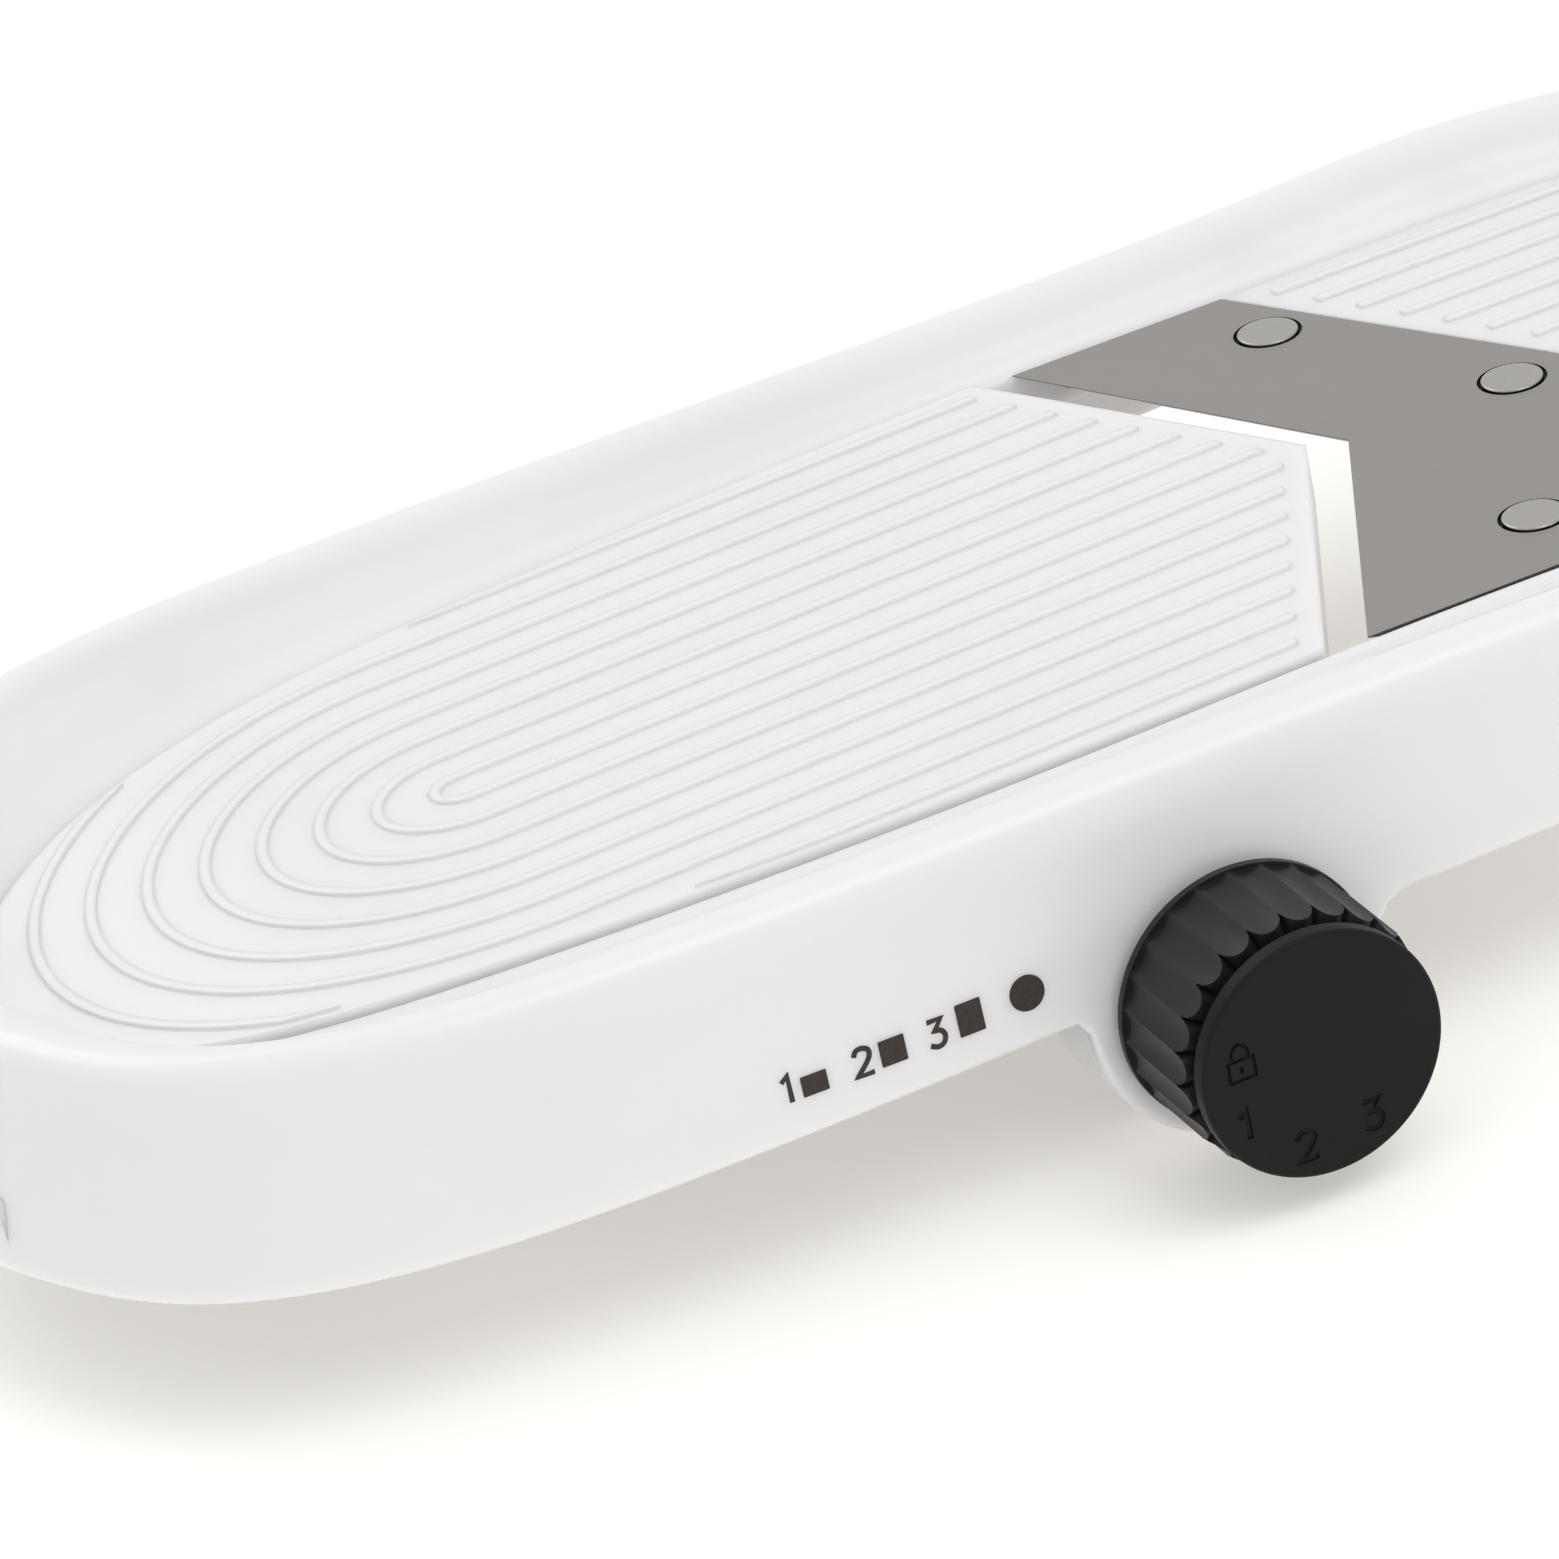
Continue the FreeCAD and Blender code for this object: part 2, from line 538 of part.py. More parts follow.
def knob():
    rear = KNOB_BACK
    flange = rod_y(SHAFT_X, SHAFT_Z, KNOB_R, rear - KNOB_FLANGE, rear)
    drum_end = KNOB_FRONT + 5.3
    tongue_r = 1.8
    drum = fluted_outline(rear - KNOB_FLANGE).extrude(Vector(0, drum_end - rear + KNOB_FLANGE, 0))
    tips = fluted_outline(drum_end).extrude(Vector(0, -tongue_r, 0))
    core = rod_y(SHAFT_X, SHAFT_Z, 12.0, KNOB_FRONT + 2.2, rear - 1)
    pieces = [flange, drum, core]
    for i in range(KNOB_FLUTES):
        a = math.degrees(2 * math.pi * (i + 0.5) / KNOB_FLUTES)
        plug = Part.makeCylinder(tongue_r, 6, Vector(10, 0, 0), Vector(1, 0, 0))
        plug.rotate(Vector(0, 0, 0), Vector(0, 1, 0), -a)
        plug.translate(Vector(SHAFT_X, drum_end, SHAFT_Z))
        pieces.append(tips.common(plug))
    body = fuse(pieces)
    ring = rod_y(SHAFT_X, SHAFT_Z, 12.3, rear - 0.9, rear + 1).cut(rod_y(SHAFT_X, SHAFT_Z, 8.7, rear - 1, rear + 2))
    bore = rod_y(SHAFT_X, SHAFT_Z, SHAFT_R, SHAFT_KNOB_END, rear + 1)
    screw = rod_y(SHAFT_X, SHAFT_Z, SCREW_R, KNOB_FRONT, SHAFT_KNOB_END + 1)
    seat = rod_y(SHAFT_X, SHAFT_Z, 3.2, KNOB_FRONT, SHAFT_KNOB_END - 1.6)
    return body.cut([ring, bore, screw, seat])


def knob_cap():
    disc = rod_y(SHAFT_X, SHAFT_Z, CAP_R, KNOB_FRONT, KNOB_FRONT + 2.2)
    front = [e for e in disc.Edges if e.BoundBox.YMax < KNOB_FRONT + 0.1]
    return disc.makeFillet(0.45, front)


def knob_screw():
    shank = rod_y(SHAFT_X, SHAFT_Z, SCREW_R, SHAFT_KNOB_END - 1.6, SHAFT_KNOB_END + 8.5)
    head = rod_y(SHAFT_X, SHAFT_Z, 2.9, SHAFT_KNOB_END - 3.6, SHAFT_KNOB_END - 1.6)
    slot = box(SHAFT_X - 3, SHAFT_X + 3, SHAFT_KNOB_END - 4, SHAFT_KNOB_END - 2.8, SHAFT_Z - 0.4, SHAFT_Z + 0.4)
    return fuse([shank, head]).cut(slot)


def washer():
    ring = rod_y(SHAFT_X, SHAFT_Z, 7.0, CLIP_Y + 1.2, CLIP_Y + 2.2)
    return ring.cut(rod_y(SHAFT_X, SHAFT_Z, SHAFT_R + RUNNING, CLIP_Y, CLIP_Y + 4))


def retaining_clip():
    ring = rod_y(SHAFT_X, SHAFT_Z, 6.6, CLIP_Y + 0.05, CLIP_Y + 0.95)
    ring = ring.cut(rod_y(SHAFT_X, SHAFT_Z, SHAFT_R - 0.6, CLIP_Y - 1, CLIP_Y + 2))
    return ring.cut(box(SHAFT_X - 2.4, SHAFT_X + 2.4, CLIP_Y - 1, CLIP_Y + 2, SHAFT_Z - 8, SHAFT_Z))


def detent_plunger():
    pin = rod_y(DETENT_X, DETENT_Z, DETENT_R - 0.1, KNOB_BACK - 0.6, -60.5)
    tip = [e for e in pin.Edges if e.BoundBox.YMax < KNOB_BACK]
    return pin.makeFillet(0.9, tip)


def coil(start, direction, coil_r, wire_r, pitch, turns):
    """A round wire wound into a helix."""
    helix = Part.makeHelix(pitch, pitch * turns, coil_r)
    ring = Part.Wire([Part.Circle(Vector(coil_r, 0, 0), Vector(0, 1, 0), wire_r).toShape()])
    spring = Part.Wire(helix.Edges).makePipeShell([ring], True, True)
    spring.Placement = FreeCAD.Placement(start, FreeCAD.Rotation(Vector(0, 0, 1), direction))
    return spring


def detent_spring():
    return coil(Vector(DETENT_X, -60.2, DETENT_Z), Vector(0, 1, 0), 1.1, 0.2, 0.9, 4)


def detent_cup():
    """A cup clipped behind the pad, which closes the plunger's bore and backs its spring."""
    cup = rod_y(DETENT_X, DETENT_Z, 3.0, -PAD_FACE + 3.6, -55.4)
    return cup.cut(rod_y(DETENT_X, DETENT_Z, DETENT_R, -PAD_FACE + 3.5, -56.2))


# ---- hinge, feet and stand ----------------------------------------------------------
def runway_springs():
    """Two torsion springs on the hinge pin that hold the runway down on the cams."""
    one = coil(Vector(HINGE_X, 12.2, HINGE_Z), Vector(0, 1, 0), 2.3, 0.45, 1.15, 4)
    return both_sides(one)


def crossbar():
    bar = box(FOOT_X - 8, FOOT_X + 8, -54, 54, CROSSBAR_TOP - 6, CROSSBAR_TOP)
    bar = bar.makeFillet(2.5, [e for e in bar.Edges if e.BoundBox.ZLength > 5])
    holes = both_sides(rod_z(FOOT_X, SHELL_BOSSES[2][1], SCREW_R, -30, 0))
    holes += both_sides(rod_z(FOOT_X, FOOT_SCREW_Y, SCREW_R, -30, 0))
    return bar.cut(holes)


def front_foot():
    top = CROSSBAR_TOP - 6
    bottom = -STAND_HEIGHT + PAD_THICK
    block = box(FOOT_X - FOOT_HALF_X, FOOT_X + FOOT_HALF_X, -FOOT_HALF_Y, FOOT_HALF_Y, bottom, top)
    block = block.makeFillet(4.0, [e for e in block.Edges if e.BoundBox.ZLength > 5])
    pocket = box(FOOT_X - 5, FOOT_X + 5, -15, 15, bottom - 1, top - 3)
    holes = both_sides(rod_z(FOOT_X, FOOT_SCREW_Y, SCREW_R, -60, 0))
    return block.cut([pocket] + holes)


def front_foot_pad():
    top = -STAND_HEIGHT + PAD_THICK
    pad = box(FOOT_X - FOOT_HALF_X, FOOT_X + FOOT_HALF_X, -FOOT_HALF_Y, FOOT_HALF_Y, -STAND_HEIGHT, top)
    pad = pad.makeFillet(4.0, [e for e in pad.Edges if e.BoundBox.ZLength > 1])
    plug = box(FOOT_X - 4.9, FOOT_X + 4.9, -14.9, 14.9, top, top + 4)
    return fuse([pad, plug])


def rear_stand():
    """A U shaped leg that folds forwards under the deck."""
    foot_z = -STAND_HEIGHT + PAD_THICK
    half = STAND_LEG / 2
    run = STAND_FOOT_X - STAND_X
    leg = slab_xz([(STAND_X - half, STAND_Z), (STAND_X + half, STAND_Z),
                   (STAND_X + run + half, foot_z), (STAND_X + run - half, foot_z)],
                  STAND_HALF - STAND_LEG, STAND_HALF)
    leg = leg.fuse(rod_y(STAND_X, STAND_Z, 4.2, STAND_HALF - STAND_LEG, STAND_HALF))
    bar = box(STAND_FOOT_X - half, STAND_FOOT_X + half, -STAND_HALF, STAND_HALF, foot_z, foot_z + STAND_LEG)
    shape = fuse(both_sides(leg) + [bar])
    return shape.cut(rod_y(STAND_X, STAND_Z, STAND_PIN_R + RUNNING, -60, 60))


def stand_feet():
    foot = box(STAND_FOOT_X - STAND_LEG / 2, STAND_FOOT_X + STAND_LEG / 2, 20.0, STAND_HALF,
               -STAND_HEIGHT, -STAND_HEIGHT + PAD_THICK)
    foot = foot.makeFillet(1.5, [e for e in foot.Edges if e.BoundBox.ZLength > 1])
    return both_sides(foot)


def stand_pins():
    return both_sides(rod_y(STAND_X, STAND_Z, STAND_PIN_R, STAND_HALF - STAND_LEG - 1.0, STAND_HALF + 3.4))


def pan_screw(x, y, seat, tip):
    """A pan head screw driven upwards: head below seat, shank up to tip."""
    shank = rod_z(x, y, SCREW_R, seat - 0.5, tip)
    head = rod_z(x, y, 2.8, seat - 2.0, seat)
    head = head.makeFillet(0.8, [e for e in head.Edges if e.BoundBox.ZMax < seat - 1.5])
    slot = box(x - 3, x + 3, y - 0.4, y + 0.4, seat - 3, seat - 1.1)
    return fuse([shank, head]).cut(slot)


def screws(places):
    shapes = []
    for x, y, seat, tip in places:
        shapes.append(pan_screw(x, y, seat, tip))
        if y:
            shapes.append(pan_screw(x, -y, seat, tip))
    return shapes


# ---- handle -------------------------------------------------------------------------
def handle_core():
    core = box(80, HANDLE_END - 5, -HANDLE_CORE_HALF, HANDLE_CORE_HALF, HANDLE_CORE_Z0, HANDLE_CORE_Z1)
    core = core.makeFillet(3.0, [e for e in core.Edges if e.BoundBox.ZLength > 5])
    holes = [rod_z(x, 0, SCREW_R, -20, 0) for x in HANDLE_SCREWS_X]
    return core.cut(holes + [rod_z(EYELET_X, 0, EYELET_R, -30, 10)])


def handle_grip():
    stations = [(132.0, 20.0, 9.5), (141.0, 16.8, 10.6), (158.0, 17.0, 12.0), (176.0, 18.6, 12.6),
                (194.0, 18.4, 11.8), (206.0, 15.5, 9.8), (HANDLE_END - 0.8, 9.0, 6.0)]
    rings = []
    for x, half_y, half_z in stations:
        ellipse = Part.Ellipse(Vector(x, half_y, HANDLE_Z), Vector(x, 0, HANDLE_Z + half_z), Vector(x, 0, HANDLE_Z))
        rings.append(Part.Wire([ellipse.toShape()]))
    grip = Part.makeLoft(rings, True, False)
    core = box(70, HANDLE_END - 5, -HANDLE_CORE_HALF, HANDLE_CORE_HALF, HANDLE_CORE_Z0, HANDLE_CORE_Z1)
    core = core.makeFillet(3.0, [e for e in core.Edges if e.BoundBox.ZLength > 5])
    return grip.cut([core, rod_z(EYELET_X, 0, EYELET_R, -40, 20)])


def hang_eyelet():
    tube = rod_z(EYELET_X, 0, EYELET_R, -21.5, 0.5)
    return tube.cut(rod_z(EYELET_X, 0, EYELET_BORE, -40, 20))


# ---- all pieces ---------------------------------------------------------------------
def main():
    os.makedirs("parts", exist_ok=True)
    save("body_shell", body_shell())
    save("landing_deck", landing_deck())
    save("v_blade", v_blade())
    save("blade_rivets", [rivet(x, y) for x, y in RIVETS])
    save("deck_screws", screws([(x, y, DECK_TAB_Z, -1.4) for x, y, z, top in SHELL_BOSSES[:2]]))
    save("runway", runway())
    save("runway_hinge_pin", rod_y(HINGE_X, HINGE_Z, HINGE_PIN_R, -27.5, 27.5))
    save("runway_springs", runway_springs())
    save("cam_shaft", cam_shaft())
    save("lift_cams", both_sides(cam(CAM_Y - CAM_WIDTH / 2)))
    save("shaft_bush_near", bush(-1))
    save("shaft_bush_far", bush(1))
    save("shaft_washer", washer())
    save("retaining_clip", retaining_clip())
    save("knob", knob())
    save("knob_cap", knob_cap())
    save("knob_screw", knob_screw())
    save("detent_plunger", detent_plunger())
    save("detent_spring", detent_spring())
    save("detent_cup", detent_cup())
    save("front_crossbar", crossbar())
    save("crossbar_screws", screws([(FOOT_X, SHELL_BOSSES[2][1], CROSSBAR_TOP - 6, -4.0)]))
    save("front_foot", front_foot())
    save("foot_screws", screws([(FOOT_X, FOOT_SCREW_Y, CROSSBAR_TOP - 9, CROSSBAR_TOP - 1)]))
    save("front_foot_pad", front_foot_pad())
    save("rear_stand", rear_stand())
    save("stand_feet", stand_feet())
    save("stand_pins", stand_pins())
    save("handle_core", handle_core())
    save("handle_screws", screws([(x, 0, HANDLE_CORE_Z0, -3.0) for x in HANDLE_SCREWS_X]))
    save("handle_grip", handle_grip())
    save("hang_eyelet", hang_eyelet())


main()
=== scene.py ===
import json
import math
import bmesh
import bpy
import numpy as np
from mathutils import Matrix, Vector
from mathutils.bvhtree import BVHTree


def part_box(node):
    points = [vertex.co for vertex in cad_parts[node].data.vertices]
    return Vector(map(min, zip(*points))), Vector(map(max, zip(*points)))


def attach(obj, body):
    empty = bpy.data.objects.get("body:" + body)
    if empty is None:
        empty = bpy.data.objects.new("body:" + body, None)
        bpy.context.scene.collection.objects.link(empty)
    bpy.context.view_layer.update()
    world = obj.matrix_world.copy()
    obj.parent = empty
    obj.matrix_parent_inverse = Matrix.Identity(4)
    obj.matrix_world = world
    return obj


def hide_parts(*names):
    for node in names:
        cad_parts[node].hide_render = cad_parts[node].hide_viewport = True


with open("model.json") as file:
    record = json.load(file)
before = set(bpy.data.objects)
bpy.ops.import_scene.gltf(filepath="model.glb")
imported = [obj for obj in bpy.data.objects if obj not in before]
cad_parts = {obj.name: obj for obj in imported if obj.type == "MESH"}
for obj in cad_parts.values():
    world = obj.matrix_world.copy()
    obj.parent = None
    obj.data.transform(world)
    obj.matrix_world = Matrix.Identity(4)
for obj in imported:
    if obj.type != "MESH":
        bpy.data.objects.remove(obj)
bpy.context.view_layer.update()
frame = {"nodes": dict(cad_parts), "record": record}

# Mandoline slicer: looks. Metres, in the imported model's frame. The shape functions work in the
# CAD drawing's millimetres (x = 0 at the blade's tips, z = 0 at the blade's top face, y = 0 on the
# centre line, the knob on the -y side); metres() converts.
FOOT_X = -107.0                         # the frame's origin in the drawing: under the front foot
STAND_HEIGHT = 42.0                     # the blade's top face above the worktop

# ---- shape numbers ------------------------------------------------------------------
# Mostly the CAD's own. The lip, the pads' swell and collars, the roundings, the bosses' tops and
# BRACKET_FRONT belong to the visual tray alone.
# Plan of one half, (x, y) from nose to tail: the opening's edge and the tray's outline.
OPENING = [(-147.6, 0), (-145.6, 11), (-138.5, 21.5), (-125, 31.5), (-106, 38), (-80, 41.8),
           (-40, 44.2), (0, 44.8), (35, 44.9), (66, 44.9), (86, 41.5), (101, 31), (109.5, 16),
           (111.5, 0)]
OUTLINE = [(-163.6, 0), (-161.6, 15), (-156.5, 29.5), (-146, 46), (-126, 57.4), (-92, 62.4),
           (-45, 63.1), (0, 63.0), (38, 64.2), (72, 65.0), (98, 55.5), (116, 40), (127, 22),
           (131, 0)]
CREST = 3.9                             # height of the rim's top
COVE_RUN, COVE_TOP = 11.6, 1.5          # the rim rises from here: distance from the outline, height
SKIRT_BOTTOM, SKIRT_RISE = -19.9, 0.0235        # hem height at x = 0, and its rise per mm of x
WALL = 2.2
FLANGE_DEPTH = 6.0
LIP_IN = 0.28                           # the lip is this much nearer to the runway than in the CAD
WALL_START = -12.0                      # below this height the skirt is one plain drafted wall
EDGE_SLOPE = 0.03                       # the opening's edge falls this much per mm towards the nose
NOSE_DIP_X, NOSE_DIP = -85.0, 840.0     # from here forward it also dips as distance ** 2 / NOSE_DIP
PAD_R, PAD_FILLET = 17.3, 3.0           # shaft pads on both walls
PAD_INNER, PAD_OUTER = 51.0, 61.0       # y of the collar behind each pad
PAD_SWELL, SWELL_DEPTH = 0.3, 3.4       # the pad stands proud of the skirt, over this depth
BUSH_R, BUSH_BORE = 5.5, (56.0, 66.0)   # the bushes' hole and the y range it is cut over
EDGE_R = 0.45                           # rounding of the hem and the lip
PAD_EDGE_R, PAD_EDGE_DEPTH = 1.3, 8.0   # the hem's rounding where a pad hangs down this far
COLLAR_INSET = 0.02                     # keeps the collar's outside clear of the pad's curve
BOSS_R, BOSS_HOLE_R = 3.5, 1.5
BOSSES = [(34.0, 51.0, -6.2, -0.6), (62.0, 51.0, -6.2, -0.6),      # x, y, bottom and top
          (FOOT_X, 50.0, -13.0, -2.2)]
HINGE_X, HINGE_Z = -141.0, -17.2        # the runway's pin
BRACKET_FRONT = -157.6                  # 0.6 ahead of the CAD's, so its corners break the nose wall
BRACKET_Y = (23.0, 27.0)
BRACKET_BEHIND, BRACKET_DOWN, BRACKET_UP = 3.5, 3.8, 3.0           # reach from the pin
BRACKET_EDGE = 0.5

# ---- mesh counts and shading --------------------------------------------------------
AROUND = 480                            # columns around the tray
TOP_STEPS, UNDER_STEPS, WALL_STEPS = 5, 3, 12   # rows per profile span; the plain wall has its own
TURN = 96                               # corners of a small round
TRAY_SHARP = 50.0                       # degrees; the tray's shading breaks at sharper edges


def metres(points):
    """Drawing millimetres to the frame's metres, for an array of points."""
    shifted = np.asarray(points, float) + (-FOOT_X, 0.0, STAND_HEIGHT)
    return shifted / 1000.0


def cap_place():
    """The knob disc's axis (x, z), front and back faces and radius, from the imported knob_cap."""
    low, high = [corner * 1000 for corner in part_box("knob_cap")]
    axis_x = (low.x + high.x) / 2 + FOOT_X
    axis_z = (low.z + high.z) / 2 - STAND_HEIGHT
    return axis_x, axis_z, low.y, high.y, (high.x - low.x) / 2


SHAFT_X, SHAFT_Z, KNOB_FRONT, CAP_BACK, CAP_R = cap_place()


# ---- camera and light ---------------------------------------------------------------
LENS, SENSOR = 207.8, 36.0              # millimetres
CAMERA_AT = (-0.23932, -0.83923, 0.48269)
CAMERA_RIGHT = (0.89414, -0.40984, -0.1804)
CAMERA_UP = (0.33853, 0.35498, 0.87142)
CAMERA_BACK = (-0.29311, -0.84025, 0.45615)
WORLD_COLOUR, WORLD_STRENGTH = (1.0, 0.995, 0.985, 1), 0.92
# Area lights: name, place, aim, size and power.
AREA_LIGHTS = [("key", (-0.35, 1.1, 1.2), (0.05, 0, 0.03), (1.2, 0.8), 5),
               ("front", (0.45, -0.85, 1.3), (0.0, 0, 0.03), (1.0, 0.8), 6.5)]


def camera():
    """A long lens from the near side, above the tray's nose."""
    data = bpy.data.cameras.new("camera")
    data.lens = LENS
    data.sensor_width = SENSOR
    data.clip_start = 0.05
    data.clip_end = 20.0
    obj = bpy.data.objects.new("camera", data)
    turn = Matrix((CAMERA_RIGHT, CAMERA_UP, CAMERA_BACK)).transposed().to_4x4()
    obj.matrix_world = Matrix.Translation(CAMERA_AT) @ turn
    bpy.context.scene.collection.objects.link(obj)
    bpy.context.scene.camera = obj


def area_light(name, at, to, size, power):
    """A rectangular lamp that shines from at towards to."""
    data = bpy.data.lights.new(name, "AREA")
    data.shape = "RECTANGLE"
    data.size, data.size_y = size
    data.energy = power
    obj = bpy.data.objects.new(name, data)
    at, to = Vector(at), Vector(to)
    obj.location = at
    obj.rotation_euler = (to - at).to_track_quat("-Z", "Y").to_euler()
    bpy.context.scene.collection.objects.link(obj)


def lights():
    """A bright even studio: a pale world, a large lamp behind and one in front."""
    world = bpy.data.worlds.new("studio")
    bpy.context.scene.world = world
    world.use_nodes = True
    back = world.node_tree.nodes["Background"]
    back.inputs["Color"].default_value = WORLD_COLOUR
    back.inputs["Strength"].default_value = WORLD_STRENGTH
    for name, at, to, size, power in AREA_LIGHTS:
        area_light(name, at, to, size, power)
    bpy.context.scene.view_settings.view_transform = "Standard"


# ---- materials ----------------------------------------------------------------------
GRAIN_HEIGHT, BRUSH_HEIGHT = 0.0002, 0.00004    # metres of relief at full strength
# Colour of the painted shade in the steel's grooves.
GROOVE_SHADE = (0.015, 0.013, 0.012, 1)
MILKY_DEPTH, MILKY_TINT = 0.0045, (1.0, 0.95, 0.9)      # how far light spreads inside the plastic


def new_material(name):
    """A material with its node tree and its shader."""
    mat = bpy.data.materials.new(name)
    mat.use_nodes = True
    tree = mat.node_tree
    return mat, tree, tree.nodes["Principled BSDF"]


def node(tree, kind, **settings):
    """A new node. Each setting is an input's value, or an attribute where no input has its name."""
    made = tree.nodes.new(kind)
    for key, value in settings.items():
        if key in made.inputs:
            made.inputs[key].default_value = value
        else:
            setattr(made, key, value)
    return made


def object_coords(tree, scale=(1, 1, 1)):
    """The object's own coordinates, stretched by scale."""
    coords = node(tree, "ShaderNodeTexCoord")
    mapping = node(tree, "ShaderNodeMapping")
    mapping.inputs["Scale"].default_value = scale
    tree.links.new(coords.outputs["Object"], mapping.inputs["Vector"])
    return mapping.outputs["Vector"]


def noise(tree, vector, scale, detail=3.0, rough=0.5):
    made = node(tree, "ShaderNodeTexNoise", Scale=scale, Detail=detail, Roughness=rough)
    tree.links.new(vector, made.inputs["Vector"])
    return made.outputs["Fac"]


def ramp(tree, fac, stops):
    """Maps fac through (place, value) stops, where a value is a colour or one level of grey."""
    made = node(tree, "ShaderNodeValToRGB")
    tree.links.new(fac, made.inputs["Fac"])
    points = made.color_ramp.elements
    for i, (at, value) in enumerate(stops):
        point = points[i] if i < len(points) else points.new(at)
        point.position = at
        point.color = value if isinstance(value, tuple) else (value, value, value, 1)
    return made.outputs["Color"]


def painted_crevice_shade(tree, colour, shade, reach):
    """The colour, darker where other surfaces are close: painted shade in grooves."""
    occlusion = node(tree, "ShaderNodeAmbientOcclusion", Distance=reach, samples=8)
    mix = node(tree, "ShaderNodeMix", data_type="RGBA")
    mix.inputs[6].default_value = shade
    tree.links.new(occlusion.outputs["AO"], mix.inputs[0])
    tree.links.new(colour, mix.inputs[7])
    return mix.outputs[2]


def surface(tree, shader, height, strength, distance, edge=0.0):
    """Fine relief from height, over edges that are rounded by edge."""
    made = node(tree, "ShaderNodeBump", Strength=strength, Distance=distance)
    tree.links.new(height, made.inputs["Height"])
    if edge:
        bevel = node(tree, "ShaderNodeBevel", Radius=edge, samples=6)
        tree.links.new(bevel.outputs["Normal"], made.inputs["Normal"])
    tree.links.new(made.outputs["Normal"], shader.inputs["Normal"])


def plastic(name, colour, shade, rough, milky=0.0, grain=0.02, grain_scale=2500.0, edge=0.0003,
            level=0.5, drift=0.06):
    """Moulded plastic: colour drifts with flow, gloss by drift, and the skin has a faint grain."""
    mat, tree, shader = new_material(name)
    coords = object_coords(tree)
    flow = noise(tree, object_coords(tree, (1, 1.6, 1)), 22.0, 2.0)
    darker = tuple(c * shade for c in colour)
    tone = ramp(tree, flow, [(0.35, darker + (1,)), (0.7, tuple(colour) + (1,))])
    tree.links.new(tone, shader.inputs["Base Color"])
    wear = noise(tree, coords, 90.0, 2.0)
    gloss = ramp(tree, wear, [(0.3, rough - drift), (0.75, rough + drift)])
    tree.links.new(gloss, shader.inputs["Roughness"])
    surface(tree, shader, noise(tree, coords, grain_scale, 2.0), grain, GRAIN_HEIGHT, edge)
    shader.inputs["IOR"].default_value = 1.48
    shader.inputs["Specular IOR Level"].default_value = level
    if milky:
        shader.inputs["Subsurface Weight"].default_value = milky
        shader.inputs["Subsurface Radius"].default_value = MILKY_TINT
        shader.inputs["Subsurface Scale"].default_value = MILKY_DEPTH
    return mat


def brushed(name, colour, rough, along, strength, fleck=0.06, groove=0.002, edge=0.0):
    """Finely brushed steel. along is the scratches' scale: large across them, small along them."""
    mat, tree, shader = new_material(name)
    lines = noise(tree, object_coords(tree, along), 1.0, 4.0, 0.65)
    broad = noise(tree, object_coords(tree), 45.0, 2.0)
    dark = tuple(c * (1 - fleck) for c in colour)
    tone = ramp(tree, lines, [(0.3, dark + (1,)), (0.7, tuple(colour) + (1,))])
    # Base colour with painted shade where other surfaces are close, as in the rivets' seats.
    tree.links.new(painted_crevice_shade(tree, tone, GROOVE_SHADE, groove), shader.inputs["Base Color"])
    gloss = ramp(tree, broad, [(0.3, rough - 0.03), (0.7, rough + 0.05)])
    tree.links.new(gloss, shader.inputs["Roughness"])
    surface(tree, shader, lines, strength, BRUSH_HEIGHT, edge)
    shader.inputs["Metallic"].default_value = 1.0
    return mat


def rubber(name, colour, rough):
    """Soft black or grey rubber: dusty patches and a pebbled skin."""
    mat, tree, shader = new_material(name)
    coords = object_coords(tree)
    dust = noise(tree, coords, 70.0, 4.0)
    light = tuple(c * 1.5 + 0.004 for c in colour)
    tone = ramp(tree, dust, [(0.3, tuple(colour) + (1,)), (0.8, light + (1,))])
    tree.links.new(tone, shader.inputs["Base Color"])
    gloss = ramp(tree, dust, [(0.2, rough - 0.08), (0.8, rough + 0.06)])
    tree.links.new(gloss, shader.inputs["Roughness"])
    grain = node(tree, "ShaderNodeTexVoronoi", Scale=1400.0)
    tree.links.new(coords, grain.inputs["Vector"])
    surface(tree, shader, grain.outputs["Distance"], 0.25, GRAIN_HEIGHT, 0.0004)
    shader.inputs["IOR"].default_value = 1.45
    return mat


def ink():
    """Pad printed ink: thin, nearly black, with a faint uneven density."""
    mat, tree, shader = new_material("printed_ink")
    density = noise(tree, object_coords(tree), 1800.0, 3.0)
    tone = ramp(tree, density, [(0.3, (0.030, 0.024, 0.020, 1)), (0.7, (0.044, 0.035, 0.030, 1))])
    tree.links.new(tone, shader.inputs["Base Color"])
    gloss = ramp(tree, density, [(0.2, 0.42), (0.8, 0.55)])
    tree.links.new(gloss, shader.inputs["Roughness"])
    shader.inputs["Specular IOR Level"].default_value = 0.2
    return mat


def floor_material():
    """The pale, matt studio sweep."""
    mat, tree, shader = new_material("studio_floor")
    cloud = noise(tree, object_coords(tree), 3.0, 2.0)
    tone = ramp(tree, cloud, [(0.2, (0.74, 0.735, 0.72, 1)), (0.8, (0.76, 0.755, 0.74, 1))])
    tree.links.new(tone, shader.inputs["Base Color"])
    shader.inputs["Roughness"].default_value = 0.9
    shader.inputs["Specular IOR Level"].default_value = 0.1
    # A lit sweep: light comes through the floor, so shadows stay pale and a little warm.
    shader.inputs["Emission Color"].default_value = (1.0, 0.965, 0.90, 1)
    shader.inputs["Emission Strength"].default_value = 0.36
    return mat


